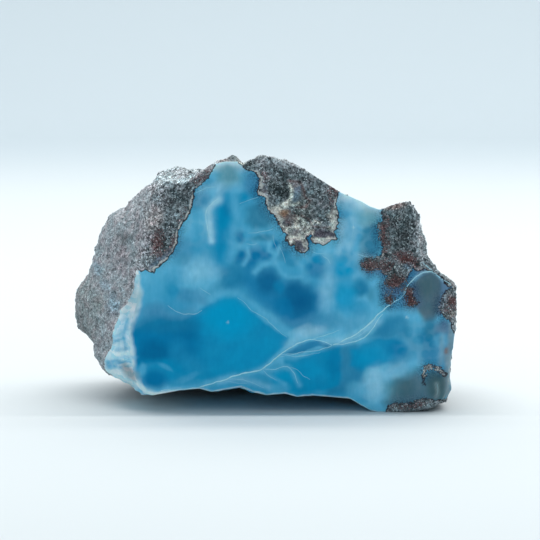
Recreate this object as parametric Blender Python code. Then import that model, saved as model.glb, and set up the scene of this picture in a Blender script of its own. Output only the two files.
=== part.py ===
"""A hand-sized lump of rough larimar: sky-blue pectolite grown in grey basalt, with one ground face.

The stone is one solid, shaped from a finely divided cube. The cube's front becomes the ground face,
its sides run back over the girth of the stone to a shoulder, and its back closes the far side.
Tables are in millimetres, in the stone's own frame: X to the right and Z up as seen from the
front, Y from the ground face towards the back, floor at Z 0.
"""

import itertools
import math

import bmesh
import bpy
import numpy as np

MM = 0.001

# The line from front to back that everything is measured round, and the shift that centres the
# stone over the origin.
AXIS_X, AXIS_Z = 5.0, 36.0
CENTRE_X, CENTRE_Y = -1.0, 29.5

# Squares along each edge of the cube, steps along each straight line of a table, and how the
# cube's sides are shared out from the edge of the face at 1, over the girth at 2, to the shoulder
# at 3.
DIVISIONS = 28
LINE_STEPS = 8
SIDE_SHARE = ((0, 0.08, 0.40, 0.52, 1), (1, 1.12, 1.9, 2.1, 3))

# Edge of the ground face, anticlockwise from the right: X, Z.
FACE_EDGE = [
    (54.5, 34.5), (53, 38), (49, 42), (44.5, 47), (43.5, 50.5), (43.5, 55), (41, 62), (38, 61.5),
    (35, 60.5), (32.5, 59.5), (29.5, 60.5), (27, 62), (21, 64.5), (10, 71.5), (2, 74.5),
    (-1.5, 75), (-5, 74), (-7, 73), (-9, 73.5), (-12.5, 73.5), (-16, 72.5), (-22, 68.5),
    (-25.5, 67.5), (-29, 68), (-31.5, 66.5), (-34, 62.5), (-37, 43), (-37, 38.5), (-37.5, 33.5),
    (-39, 28.5), (-40, 23.5), (-40, 19), (-38.5, 10), (-37.5, 7.5), (-36, 5.5), (-33.5, 5),
    (-25.5, 6.5), (-20, 7), (-16.5, 6), (-8, 7.5), (-4.5, 6), (-0.5, 5), (5, 5.5), (8.5, 4.5),
    (13, 5), (24, 4), (30, 0.5), (32, 0), (40, 0), (44.5, 0.5), (48.5, 1.5), (51, 4),
    (52.5, 7.5), (52.5, 12), (53, 16), (54, 20), (54.5, 25), (54.5, 29.5),
]

# Widest line of the stone behind that face, anticlockwise from the right: X, Y, Z. Where it runs
# below the floor, the stone is cut off level.
GIRTH = [
    (56, 9, 36.5), (53.5, 9, 38.5), (50, 9, 40.5), (46, 9, 45.5), (46, 9, 50.5), (43.5, 7, 57.5),
    (41.5, 5, 60.5), (36, 10, 57.5), (29, 12, 56.5), (23.5, 12, 58.5), (17.5, 10, 63.5),
    (11.5, 8, 69), (5, 8, 73), (-2, 8, 74.5), (-7, 10, 71.5), (-10, 13, 73.5), (-14.5, 8, 73),
    (-19, 12, 69.5), (-23.5, 22, 68.5), (-27, 24, 69.5), (-31.5, 22, 68), (-35, 20, 64.5),
    (-39.5, 22, 60.5), (-43, 24, 57.5), (-47.5, 26, 55), (-50, 26, 50), (-52, 26, 44),
    (-54.5, 27, 36.5), (-57.5, 28, 30), (-58, 28, 25), (-56.5, 26, 20), (-52.5, 22, 17),
    (-51.5, 18, 13), (-48.5, 13, 10), (-43.5, 15, 7), (-39, 25, 3), (-35, 32, 2), (-20, 33, 1.5),
    (15, 33, 1.5), (24, 30, 0.5), (30.5, 14, -1.5), (36, 10, -1.5), (49, 12, -1), (52, 11, 2),
    (53.5, 9, 6.5), (54, 9, 12), (55, 9, 18), (56, 9, 25), (56.5, 9, 31),
]

# Shoulder where the sides turn in to the back, anticlockwise from the right: X, Y, Z, and how far
# round, in radians, its corners are blended.
SHOULDER = [
    (50, 36, 34), (45, 39, 42), (35, 38, 50), (18, 40, 57), (2, 42, 64), (-16, 45, 63),
    (-31, 46, 57), (-44, 48, 45), (-51, 47, 30), (-48, 45, 14), (-37, 50, -5), (-12, 53, -6),
    (12, 53, -6), (30, 47, -5), (43, 38, 2), (49, 36, 18),
]
SHOULDER_BLEND = 0.2
BACK_DEPTH = 59.0

# Broad flat breaks: each takes off what stands past a plane, given by the way the break faces
# (X, Y, Z) and its distance from the middle of the stone.
MIDDLE = (-1, 28, 36)
BREAKS = [
    ((0.42, 0.72, 0.55), 38.0),
    ((-0.55, 0.80, 0.25), 38.5),
    ((-0.10, 0.62, 0.78), 37.5),
    ((0.12, 0.86, -0.50), 36.0),
    ((0.92, 0.36, -0.15), 50.0),
    ((-0.62, 0.45, -0.64), 50.0),
]

# How deep the blue runs behind the edge of the face: direction round the axis in degrees, then
# depth, which is negative where the edge itself is basalt. The line between the two wanders by a
# height, over a width, with a seed.
BLUE_DEPTH = [
    (-179, 6), (-165, 9), (-150, 13), (-138, 22), (-100, 27), (-70, 24), (-60, 12), (-50, 2),
    (-35, 3), (-20, 8), (-5, 4), (5, -4), (40, -5), (46, 12), (54, 12), (59, -5),
    (106, -5), (110, 2.5), (116, 2.5), (120, -5), (165, -5), (172, 3),
]
BLUE_WANDER = (2.5, 9.0, 5)

# Basalt that reaches onto the ground face: X, Z round each patch. Patches run out past the edge.
BASALT_PATCHES = {
    "tongue": [
        (-7.5, 78), (-7.5, 72), (-4.5, 70.5), (-2.5, 68.5), (-3, 65), (-0.5, 63), (0, 59.5),
        (3, 56), (5.5, 52.5), (7, 49.5), (9.5, 46.5), (12, 48), (14, 49.5), (19, 50.5), (20, 52),
        (20.5, 57), (19.5, 62.5), (22.5, 68), (22.5, 78),
    ],
    "left shoulder": [
        (-14.5, 80), (-15, 72), (-17, 68), (-20.5, 65.5), (-22, 58.5), (-26, 53), (-27.5, 47),
        (-29.5, 43.5), (-33, 41), (-37.5, 41.5), (-62, 41.5), (-62, 80),
    ],
    "right shoulder": [
        (33, 68), (32.5, 57), (31.5, 52), (32.5, 46), (27.5, 42), (28.5, 39.5), (34, 38.5),
        (34.5, 33.5), (38.5, 34.5), (41.5, 31), (42.5, 35), (43.5, 41.5), (51.5, 40), (62, 39),
        (62, 68),
    ],
    "right edge": [(62, 37.5), (52, 36), (50, 31.5), (53.5, 25.5), (62, 23)],
    "foot": [(34, -3), (35, 2.5), (40, 3.5), (52, 5), (58, 6), (58, -3)],
}

# Relief of the ground face: how far the basalt stands proud, the width of the slope up to it, and
# the height, width and seed of the bumps on it.
BASALT_PROUD, RIM_SLOPE = 0.5, 1.2
FACE_BUMPS = (0.55, 4.0, 11)

# Relief of the rest: lumps as height, width and seed, then chipped facets in the same way, how far
# from the face's edge it all reaches full height, and its share from the face's edge at 1 back.
LUMPS = ((1.9, 17.0, 0), (0.9, 7.0, 1))
CHIPS = (3.0, 9.0, 7)
EDGE_FADE = 3.0
RELIEF_SHARE = ((1, 1.5, 2, 2.5, 4), (0.4, 0.5, 0.2, 1, 1))

# The noise's own constants: what brings its range to about -1 to 1, large odd numbers that mix a
# cell's whole-number address, how far a chip's middle strays from its cell's, the share of the
# chips' shape that is square rather than slanted, and their mean.
NOISE_GAIN = 1.6
MIXERS = (374761393, 668265263, 1440662683, 974634777, 1274126177)
CHIP_STRAY, CHIP_SQUARENESS, CHIP_MEAN = 0.42, 0.7, 0.55

BLUE = ((0.02, 0.30, 0.56), 0.20)
GREY = ((0.22, 0.20, 0.20), 0.85)
SMOOTH_BELOW = math.radians(30)
FLOOR_CUTTER = (0.2, 0.2, 0.02)


def random_vectors(cells, seed):
    """Three numbers from -1 to 1 for each cell, the same each time."""
    mixed = cells @ np.array(MIXERS[:3]) + seed * MIXERS[3]
    mixed = (mixed ^ (mixed >> 13)) * MIXERS[4] & 0xFFFFFFFF
    mixed = (mixed ^ (mixed >> 15)) * MIXERS[1] & 0xFFFFFFFF
    return np.stack([mixed & 1023, mixed >> 10 & 1023, mixed >> 20 & 1023], axis=1) / 511.5 - 1


def lattice_noise(points, height, width, seed):
    """Smooth noise up to about the height: random slopes at the corners of a grid, blended across."""
    points = points / width
    cell = np.floor(points).astype(np.int64)
    part = points - cell
    fade = part**3 * (part * (part * 6 - 15) + 10)
    total = np.zeros(len(points))
    for corner in itertools.product((0, 1), repeat=3):
        weight = np.prod(np.where(corner, fade, 1 - fade), axis=1)
        total += weight * (random_vectors(cell + corner, seed) * (part - corner)).sum(axis=1)
    return height * NOISE_GAIN * total


def chipped(points, height, width, seed):
    """Overlapping flat chips: distance, measured squarely, to the nearest of a grid of strayed points."""
    points = points / width
    cell = np.floor(points).astype(np.int64)
    nearest = np.full(len(points), np.inf)
    for step in itertools.product((-1, 0, 1), repeat=3):
        middles = cell + step + 0.5 + CHIP_STRAY * random_vectors(cell + step, seed)
        away = np.abs(points - middles)
        square, slanted = away.max(axis=1), away.sum(axis=1)
        nearest = np.minimum(nearest, CHIP_SQUARENESS * square + (1 - CHIP_SQUARENESS) * slanted)
    return height * (CHIP_MEAN - nearest)


def round_axis(table, angle, blend=0):
    """Radius and depth of a table of X, Y, Z points in each direction round the axis, with straight
    lines between the points."""
    if blend:
        turned = [round_axis(table, angle + blend * step / 3) for step in range(-3, 4)]
        return np.mean(turned, axis=0)
    corners = np.array([*table, table[0]], float)
    steps = np.linspace(0, len(table), LINE_STEPS * len(table), endpoint=False)
    x, y, z = (np.interp(steps, range(len(corners)), column) for column in corners.T)
    direction = np.arctan2(z - AXIS_Z, x - AXIS_X)
    radius = np.hypot(x - AXIS_X, z - AXIS_Z)
    turn = 2 * math.pi
    return np.interp(angle, direction, radius, period=turn), np.interp(angle, direction, y, period=turn)


def smooth_profile(stations, along, flat_end):
    """A curve through the stations at 0, 1, 2, ... that never overshoots them."""
    stations = np.array(stations)
    step = np.diff(stations, axis=0)
    slope = np.zeros_like(stations)
    slope[0] = step[0]
    slope[-1] = 0 if flat_end else step[-1]
    same_way = step[:-1] * step[1:] > 0
    both = np.where(same_way, step[:-1] + step[1:], 1)
    slope[1:-1] = np.where(same_way, 2 * step[:-1] * step[1:] / both, 0)
    first = np.clip(along.astype(int), 0, len(stations) - 2)
    here = np.arange(len(along))
    t = along - first
    start, end = stations[first, here], stations[first + 1, here]
    leave, arrive = slope[first, here], slope[first + 1, here]
    return (
        start * (1 + 2 * t) * (1 - t) ** 2
        + leave * t * (1 - t) ** 2
        + end * t**2 * (3 - 2 * t)
        + arrive * t**2 * (t - 1)
    )


def inside_patch(outline, x, z):
    """Distance in from a patch's outline, negative outside it."""
    corners = np.array(outline, float)
    nearest = np.full(len(x), np.inf)
    inside = np.zeros(len(x), bool)
    for (ax, az), (bx, bz) in zip(corners, np.roll(corners, -1, axis=0)):
        run, rise = bx - ax, bz - az
        along = np.clip(((x - ax) * run + (z - az) * rise) / (run**2 + rise**2), 0, 1)
        nearest = np.minimum(nearest, np.hypot(x - ax - along * run, z - az - along * rise))
        crosses = (az > z) != (bz > z)
        inside ^= crosses & (x < ax + (z - az) * run / (rise or 1))
    return np.where(inside, nearest, -nearest)


def basalt_depth(points):
    """How far each point is inside the basalt, in millimetres; negative in the blue."""
    x, y, z = points.T
    angle = np.degrees(np.arctan2(z - AXIS_Z, x - AXIS_X))
    blue_ends = np.interp(angle, *np.array(BLUE_DEPTH, float).T, period=360)
    depth = np.minimum(y - blue_ends + lattice_noise(points, *BLUE_WANDER), 3 * y - 0.1)
    for outline in BASALT_PATCHES.values():
        depth = np.maximum(depth, inside_patch(outline, x, z))
    return depth


def plain_surface(angle, along):
    """Points of the stone before its breaks and relief, and how far each is past the face's edge.
    Along is 0 at the face's middle, 1 at its edge, 2 at the girth, 3 at the shoulder and 4 at the
    middle of the back."""
    edge, _ = round_axis([(x, 0, z) for x, z in FACE_EDGE], angle)
    girth, girth_depth = round_axis(GIRTH, angle)
    shoulder, shoulder_depth = round_axis(SHOULDER, angle, SHOULDER_BLEND)
    level = np.zeros_like(edge)
    behind = np.maximum(along - 1, 0)
    radius = smooth_profile([edge, girth, shoulder, level], behind, flat_end=False)
    radius = np.where(along < 1, edge * along, radius)
    depths = [level, girth_depth, shoulder_depth, level + BACK_DEPTH]
    depth = smooth_profile(depths, behind, flat_end=True)
    points = np.stack([AXIS_X + radius * np.cos(angle), depth, AXIS_Z + radius * np.sin(angle)], axis=1)
    return points, np.hypot(radius - edge, depth)


def stone_surface(angle, along):
    points, past_edge = plain_surface(angle, along)
    outward = points - MIDDLE
    for way, distance in BREAKS:
        reach = outward @ (np.array(way) / np.linalg.norm(way))
        outward = outward * np.where(reach > distance, distance / np.maximum(reach, 1), 1)[:, None]
    points = MIDDLE + outward
    outward /= np.linalg.norm(outward, axis=1)[:, None]

    relief = sum(lattice_noise(points, *lump) for lump in LUMPS) + chipped(points, *CHIPS)
    relief *= np.clip(past_edge / EDGE_FADE, 0, 1) * np.interp(along, *RELIEF_SHARE)
    basalt = basalt_depth(points)
    proud = BASALT_PROUD * np.clip(basalt / RIM_SLOPE, 0, 1)
    proud += np.clip(basalt, 0, 1) * lattice_noise(points, *FACE_BUMPS)
    on_face = along < 0.999
    points += outward * np.where(on_face, 0, relief)[:, None]
    points[:, 1] -= np.where(on_face, proud, 0)
    return points


def cube_to_rings(cube):
    """Angle and along of points on a cube, whose squares open out into even rings."""
    u, v, w = cube.T
    ring = np.maximum(np.abs(u), np.abs(v))
    upright = np.abs(v) > np.abs(u)
    near, far = np.where(upright, (-u, v), (v, u))
    angle = math.pi / 4 * near / np.where(far == 0, 1, far)
    angle += np.where(upright, math.pi / 2, 0) + np.where(far < 0, math.pi, 0)
    along = np.where(w > 0.9999, ring, np.interp((1 - w) / 2, *SIDE_SHARE))
    return angle, np.where(w < -0.9999, 4 - ring, along)


def make_material(name, colour, roughness):
    material = bpy.data.materials.new(name)
    material.use_nodes = True
    surface = material.node_tree.nodes["Principled BSDF"]
    surface.inputs["Base Color"].default_value = (*colour, 1)
    surface.inputs["Roughness"].default_value = roughness
    surface.inputs["Metallic"].default_value = 0
    return material


def make_stone(collection):
    shape = bmesh.new()
    bmesh.ops.create_cube(shape, size=2)
    bmesh.ops.subdivide_edges(shape, edges=shape.edges, cuts=DIVISIONS - 1, use_grid_fill=True)
    angle, along = cube_to_rings(np.array([vertex.co for vertex in shape.verts]))
    points = stone_surface(angle, along)
    basalt = basalt_depth(points)
    points -= (CENTRE_X, CENTRE_Y, 0)
    for vertex, place in zip(shape.verts, points * MM):
        vertex.co = place
    for face in shape.faces:
        face.material_index = int(np.mean([basalt[vertex.index] for vertex in face.verts]) > 0)
    mesh = bpy.data.meshes.new("larimar")
    shape.to_mesh(mesh)
    shape.free()
    stone = bpy.data.objects.new("larimar", mesh)
    mesh.materials.append(make_material("blue_pectolite", *BLUE))
    mesh.materials.append(make_material("grey_basalt", *GREY))
    collection.objects.link(stone)
    return stone


def cut_level(stone, cutters):
    """Takes off all that hangs below the floor, so that the stone rests on flat ground."""
    bpy.ops.mesh.primitive_cube_add(size=1, location=(0, 0, -FLOOR_CUTTER[2] / 2))
    floor = bpy.context.object
    floor.name = "below_floor"
    floor.scale = FLOOR_CUTTER
    bpy.ops.object.transform_apply(location=False, rotation=False, scale=True)
    floor.hide_render = True
    floor.display_type = "WIRE"
    for owner in floor.users_collection:
        owner.objects.unlink(floor)
    cutters.objects.link(floor)
    cut = stone.modifiers.new("level_base", "BOOLEAN")
    cut.operation = "DIFFERENCE"
    cut.solver = "EXACT"
    cut.object = floor


def make_collection(name):
    collection = bpy.data.collections.new(name)
    bpy.context.scene.collection.children.link(collection)
    return collection


def main():
    for old in list(bpy.data.objects):
        bpy.data.objects.remove(old)
    stone = make_stone(make_collection("larimar"))
    cut_level(stone, make_collection("cutters"))
    stone.data.shade_smooth()
    stone.data.set_sharp_from_angle(angle=SMOOTH_BELOW)


main()
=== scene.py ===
import itertools
import math

import bpy
import numpy as np
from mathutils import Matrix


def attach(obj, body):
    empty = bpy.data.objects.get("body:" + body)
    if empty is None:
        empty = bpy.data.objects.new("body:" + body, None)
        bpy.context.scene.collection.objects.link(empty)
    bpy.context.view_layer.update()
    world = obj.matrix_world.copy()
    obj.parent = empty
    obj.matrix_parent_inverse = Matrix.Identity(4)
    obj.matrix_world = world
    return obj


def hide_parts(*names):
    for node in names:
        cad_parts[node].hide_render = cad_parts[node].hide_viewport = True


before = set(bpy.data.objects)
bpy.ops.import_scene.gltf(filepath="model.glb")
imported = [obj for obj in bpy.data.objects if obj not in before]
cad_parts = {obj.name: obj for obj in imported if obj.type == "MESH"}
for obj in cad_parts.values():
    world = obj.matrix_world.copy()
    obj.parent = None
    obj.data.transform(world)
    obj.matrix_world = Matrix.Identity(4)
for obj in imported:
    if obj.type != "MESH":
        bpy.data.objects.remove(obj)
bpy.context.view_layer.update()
print("larimar: frame loaded")

# Tables are in millimetres in the stone's own frame: x to the right and z up as seen from the ground
# face, y from that face towards the back, floor at z 0. The row's frame lies centreX, centreY away.
mm = 0.001

stoneShape = {
    "axisX": 5, "axisZ": 36, "centreX": -1, "centreY": 29.5, "middle": (-1, 28, 36),
    # edge of the ground face, anticlockwise from the right: x, z
    "faceEdge": [
        (54.5, 34.5), (53, 38), (49, 42), (44.5, 47), (43.5, 50.5), (43.5, 55), (41, 62), (38, 61.5),
        (35, 60.5), (32.5, 59.5), (29.5, 60.5), (27, 62), (21, 64.5), (10, 71.5), (2, 74.5),
        (-1.5, 75), (-5, 74), (-7, 73), (-9, 73.5), (-12.5, 73.5), (-16, 72.5), (-22, 68.5),
        (-25.5, 67.5), (-29, 68), (-31.5, 66.5), (-34, 62.5), (-37, 43), (-37, 38.5), (-37.5, 33.5),
        (-39, 28.5), (-40, 23.5), (-40, 19), (-38.5, 10), (-37.5, 7.5), (-36, 5.5), (-33.5, 5),
        (-25.5, 6.5), (-20, 7), (-16.5, 6), (-8, 7.5), (-4.5, 6), (-0.5, 5), (5, 5.5), (8.5, 4.5),
        (13, 5), (24, 4), (30, 0.5), (32, 0), (40, 0), (44.5, 0.5), (48.5, 1.5), (51, 4),
        (52.5, 7.5), (52.5, 12), (53, 16), (54, 20), (54.5, 25), (54.5, 29.5),
    ],
    # widest line behind it, anticlockwise from the right: x, y, z
    "girth": [
        (54.9, 9, 36), (53, 9, 38.2), (50.4, 9, 39.2), (49.4, 9, 40.6), (46, 9, 45.5), (45.6, 9, 50.5), (43, 7, 57.5),
        (41.5, 5, 60.5), (36, 10, 57.5), (29, 12, 56.5), (23.5, 12, 58.5), (17.5, 10, 63.5),
        (11.5, 8, 69), (5, 8, 73), (-2, 8, 74.5), (-7, 10, 71.5), (-10, 13, 73.5), (-14.5, 8, 73),
        (-19, 12, 69.5), (-23.5, 22, 68.5), (-27, 24, 69.5), (-31.5, 22, 68), (-35, 20, 64.5),
        (-39.5, 22, 60.5), (-43, 24, 57.5), (-47.5, 26, 55), (-50, 26, 50), (-52, 26, 44),
        (-54.5, 27, 36.5), (-57.5, 28, 30), (-58, 28, 25), (-56.5, 26, 20), (-52.5, 22, 17),
        (-51.5, 18, 13), (-48.5, 13, 10), (-43.5, 15, 7), (-39, 25, 3), (-35, 32, 2), (-20, 33, 1.5),
        (15, 33, 1.5), (24, 30, 0.5), (30.5, 14, -1.5), (36, 10, -1.5), (49, 12, -1), (52, 11, 2),
        (53.3, 9, 6.5), (53.7, 9, 12), (54.4, 9, 18), (54.9, 9, 25), (55.3, 9, 31),
    ],
    # knobs that stand out from it: x, y, z, radius, height
    "knobs": [(-9.6, 9, 74, 2.6, 1.9), (-24, 16, 69, 4, 0.8), (36, 5, 61, 3, 0.6)],
    # shoulder where the sides turn in to the back: x, y, z
    "shoulder": [
        (50, 36, 34), (45, 39, 42), (35, 38, 50), (18, 40, 57), (2, 42, 64), (-16, 45, 63),
        (-31, 46, 57), (-44, 48, 45), (-51, 47, 30), (-48, 45, 14), (-37, 50, -5), (-12, 53, -6),
        (12, 53, -6), (30, 47, -5), (43, 38, 2), (49, 36, 18),
    ],
    "shoulderBlend": 0.2,
    "backDepth": 59,
    # broad flat breaks: the way each faces, and its distance from the middle
    "breaks": [
        ((0.42, 0.72, 0.55), 38), ((-0.55, 0.80, 0.25), 38.5), ((-0.10, 0.62, 0.78), 37.5),
        ((0.12, 0.86, -0.50), 36), ((0.92, 0.36, -0.15), 50), ((-0.62, 0.45, -0.64), 50),
    ],
    # relief of the sides and back as height, width and seed, and how it fades in from the face's edge
    "lumps": ((1.9, 17, 0), (0.9, 7, 1)),
    "chips": (3, 9, 7),
    "edgeFade": 3,
    "reliefShare": ((1, 1.5, 2, 2.5, 4), (0.4, 0.5, 0.2, 1, 1)),
    "fineGrain": ((0.42, 2.3, 21), (0.34, 1.1, 22)),
    "fineChips": (1.1, 3.1, 23),
    # squares across the face, rings close behind its edge, then rings half as fine to the shoulder
    "squares": 216, "closeRings": (1, 1.3, 12), "farRings": (1.3, 3, 56),
}

basaltShape = {
    # how deep the blue runs behind the face's edge: degrees round the axis, depth
    "blueDepth": [
        (-179, 4), (-172, 4.5), (-165, 7), (-157, 10.5), (-150, 13), (-138, 22), (-100, 27), (-70, 24), (-60, 12), (-50, 2),
        (-35, 3), (-20, 8), (-5, 4), (5, -4), (38, -5), (44, 4), (49, 10), (54, 5), (61, -5),
        (106, -5), (110, 2.5), (116, 2.5), (120, -5), (165, -5), (172, 3),
    ],
    "wander": (2.5, 9, 5), "angleWander": (5, 6, 12),
    "craggy": ((0.45, 1.7, 31), (0.25, 0.8, 32)),
    "faceBumps": (0.55, 4, 11),
    "proud": 0.5, "rimSlope": 1.2,
    # basalt that reaches onto the ground face: x, z round each patch
    "patches": {
        "tongue": [
            (-8.4, 78), (-8.6, 73.2), (-7.4, 72.1), (-6.3, 71.1), (-4.6, 70.6), (-3.2, 69.9),
            (-2.5, 68.7), (-2.4, 66.6), (-3.2, 65), (-2.9, 64), (-0.8, 62.9), (-0.9, 61.2),
            (-0.1, 59.7), (1.7, 58.1), (2.9, 56), (4.1, 53.8), (5.3, 52.4), (5.2, 50.6), (6.1, 49.5),
            (7.7, 48.9), (8.6, 47.4), (9.6, 46.6), (11, 47.5), (11.7, 47.6), (11.6, 50), (11.2, 52),
            (12.4, 52.2), (12.8, 50.4), (13.9, 49.6), (16.4, 49.4), (18.2, 50.6), (20, 51), (19.3, 53.3), (20, 54.8),
            (20.5, 57.1), (19.7, 60), (19.6, 62.4), (20.3, 64.6), (22.5, 66.2), (22.5, 78),
        ],
        "left shoulder": [
            (-15.2, 80), (-15.2, 72.2), (-16.4, 70.5), (-17.4, 68.4), (-18.9, 67), (-20.9, 65.8),
            (-21.6, 63.4), (-22, 60.9), (-22.4, 58.6), (-23.9, 56.5), (-25.2, 54.8), (-26, 53.1),
            (-26.1, 51.3), (-26.8, 49), (-27.6, 47.2), (-29.1, 45.3), (-30.5, 44), (-32.3, 42.4),
            (-33, 41.3), (-34.6, 41.5), (-35.4, 42), (-37.5, 41.5), (-62, 41.5), (-62, 80),
        ],
        "right shoulder": [
            (33.4, 68), (33, 58.6), (32.9, 56.2), (31.6, 55.2), (32, 53.6), (32.3, 51.4), (33.3, 49.4),
            (33.1, 46.4), (31.2, 45.6), (28.6, 45.6), (26.6, 44.2), (27.4, 42.2), (29.6, 41.2), (31.6, 42.4),
            (33.2, 41.4), (34.4, 40), (33.8, 37.8), (35.6, 36.4), (38.4, 36.8), (40.2, 38.6), (40.6, 40.6), (42, 42.4),
            (43.4, 42), (45.4, 42), (47.4, 41.9), (49.2, 40.6), (50.8, 39), (52, 37), (62, 36), (62, 68),
        ],
        "rust island": [(40, 37.4), (39, 36), (40.2, 34), (40, 31.8), (42, 31.2), (43.6, 32.2),
                        (42.4, 34), (42, 36.4)],
        "small island": [(34.4, 34.4), (34.4, 32.4), (35.8, 31.6), (36.4, 33.4), (35.8, 35.2)],
        "right edge": [
            (62, 37.6), (54, 37.4), (51.6, 36), (50.4, 33.7), (49.8, 31), (50.6, 28.8), (52.6, 27.4),
            (53.4, 25.2), (54, 23.4), (62, 23),
        ],
        "arch": [
            (45.1, 8), (45, 11.2), (45.5, 13.7), (47.2, 14), (49.8, 13.5), (52.2, 11.5),
            (51.4, 10.7), (49.4, 12.3), (47.2, 12.8), (46, 12.2), (45.8, 8),
        ],
        "foot": [
            (34.2, -3), (35, 1.6), (37.6, 2.8), (41, 2.6), (43.4, 3.6), (46, 4.4), (49.2, 3.4),
            (52, 3.6), (58, 5), (58, -3),
        ],
    },
}

# Fracture lines of the ground face, from left to right: x, z.
faceLines = {
    "ridge": [
        (-29.5, 6.6), (-24, 6.8), (-19, 7.6), (-14.5, 8.7), (-10.5, 10.2), (-5.5, 11.4), (-2, 12.6),
        (0.5, 14.4), (3.5, 17), (6.5, 19), (9.5, 20.7), (12.5, 21.8), (15, 22.3), (19, 23.4), (21.5, 24.6),
    ],
    "eyeTop": [(3.5, 17.2), (6.5, 18.9), (9.5, 20.4), (12.5, 21.3), (15.5, 21.2), (18.5, 20.2), (20.5, 20)],
    "eyeBottom": [(3.5, 17.2), (7, 17.1), (9, 17.7), (13, 17.9), (16, 18.2), (18.5, 19.8), (20.5, 20)],
    "rightUpper": [
        (20, 20.9), (22, 21.8), (24.5, 22.7), (28, 24.7), (30, 26.2), (32, 28.3), (35, 30.4), (37, 31.8),
        (38.5, 33.8),
    ],
    "rightLower": [(18.5, 20.1), (22, 20.4), (25, 20.9), (28, 22), (30, 23.7), (31.2, 26), (32.6, 28.4)],
    "branch": [(-2, 12.5), (1, 12.3), (4, 13.3), (5.8, 13.6), (7, 12.3), (8, 10.2), (9.2, 8)],
}

noiseRule = {
    "gain": 1.6,  # brings the noise to about -1 to 1
    "mixers": (374761393, 668265263, 1440662683, 974634777, 1274126177),
    "chipStray": 0.42, "chipSquareness": 0.7, "chipMean": 0.55,
}


def randomVectors(cells, seed):
    # three numbers from -1 to 1 for each cell: its whole-number address times large odd numbers, mixed
    mixers = noiseRule["mixers"]
    mixed = cells @ np.array(mixers[:3]) + seed * mixers[3]
    mixed = (mixed ^ (mixed >> 13)) * mixers[4] & 0xFFFFFFFF
    mixed = (mixed ^ (mixed >> 15)) * mixers[1] & 0xFFFFFFFF
    return np.stack([mixed & 1023, mixed >> 10 & 1023, mixed >> 20 & 1023], axis=1) / 511.5 - 1


def latticeNoise(points, height, width, seed):
    # random slopes at the corners of a grid, blended across each cell by a fifth-power fade
    points = points / width
    cell = np.floor(points).astype(np.int64)
    part = points - cell
    fade = part**3 * (part * (part * 6 - 15) + 10)
    total = np.zeros(len(points))
    for corner in itertools.product((0, 1), repeat=3):
        weight = np.prod(np.where(corner, fade, 1 - fade), axis=1)
        total += weight * (randomVectors(cell + corner, seed) * (part - corner)).sum(axis=1)
    return height * noiseRule["gain"] * total


def chippedFacets(points, height, width, seed):
    # overlapping flat chips: the distance, measured squarely, to the nearest of a grid of strayed points
    points = points / width
    cell = np.floor(points).astype(np.int64)
    nearest = np.full(len(points), np.inf)
    square, stray = noiseRule["chipSquareness"], noiseRule["chipStray"]
    for step in itertools.product((-1, 0, 1), repeat=3):
        away = np.abs(points - cell - step - 0.5 - stray * randomVectors(cell + step, seed))
        nearest = np.minimum(nearest, square * away.max(axis=1) + (1 - square) * away.sum(axis=1))
    return height * (noiseRule["chipMean"] - nearest)


def roundAxis(table, angle, blend=0):
    # radius and depth in each direction round the axis, along straight lines between a table's points
    if blend:
        return np.mean([roundAxis(table, angle + blend * step / 3) for step in range(-3, 4)], axis=0)
    corners = np.array([*table, table[0]], float)
    steps = np.linspace(0, len(table), 8 * len(table), endpoint=False)
    x, y, z = (np.interp(steps, range(len(corners)), column) for column in corners.T)
    across, up = x - stoneShape["axisX"], z - stoneShape["axisZ"]
    direction, turn = np.arctan2(up, across), 2 * math.pi
    radius = np.interp(angle, direction, np.hypot(across, up), period=turn)
    return radius, np.interp(angle, direction, y, period=turn)


def smoothProfile(stations, along, flatEnd):
    # cubic curve through the stations at 0, 1, 2, ..., with slopes that never let it overshoot
    stations = np.array(stations)
    step = np.diff(stations, axis=0)
    slope = np.zeros_like(stations)
    slope[0] = step[0]
    slope[-1] = 0 if flatEnd else step[-1]
    sameWay = step[:-1] * step[1:] > 0
    slope[1:-1] = np.where(sameWay, 2 * step[:-1] * step[1:] / np.where(sameWay, step[:-1] + step[1:], 1), 0)
    first = np.clip(along.astype(int), 0, len(stations) - 2)
    here, t = np.arange(len(along)), along - first
    return (
        stations[first, here] * (1 + 2 * t) * (1 - t) ** 2
        + slope[first, here] * t * (1 - t) ** 2
        + stations[first + 1, here] * t**2 * (3 - 2 * t)
        + slope[first + 1, here] * t**2 * (t - 1)
    )


def fadeBetween(value, low, high):
    # 0 below low, 1 above high, and a smooth S between
    t = np.clip((value - low) / (high - low), 0, 1)
    return t * t * (3 - 2 * t)


def lineDistance(route, x, z, closed=False):
    # distance to a line of straight runs, and whether each place is inside it
    corners = np.array(route, float)
    ends = np.roll(corners, -1, axis=0)
    nearest = np.full(len(x), np.inf)
    inside = np.zeros(len(x), bool)
    for (ax, az), (bx, bz) in list(zip(corners, ends))[: len(corners) if closed else -1]:
        run, rise = bx - ax, bz - az
        along = np.clip(((x - ax) * run + (z - az) * rise) / (run**2 + rise**2), 0, 1)
        nearest = np.minimum(nearest, np.hypot(x - ax - along * run, z - az - along * rise))
        inside ^= ((az > z) != (bz > z)) & (x < ax + (z - az) * run / (rise or 1))
    return nearest, inside


def insidePatch(outline, x, z):
    # distance in from an outline, negative outside it
    nearest, inside = lineDistance(outline, x, z, closed=True)
    return np.where(inside, nearest, -nearest)


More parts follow.
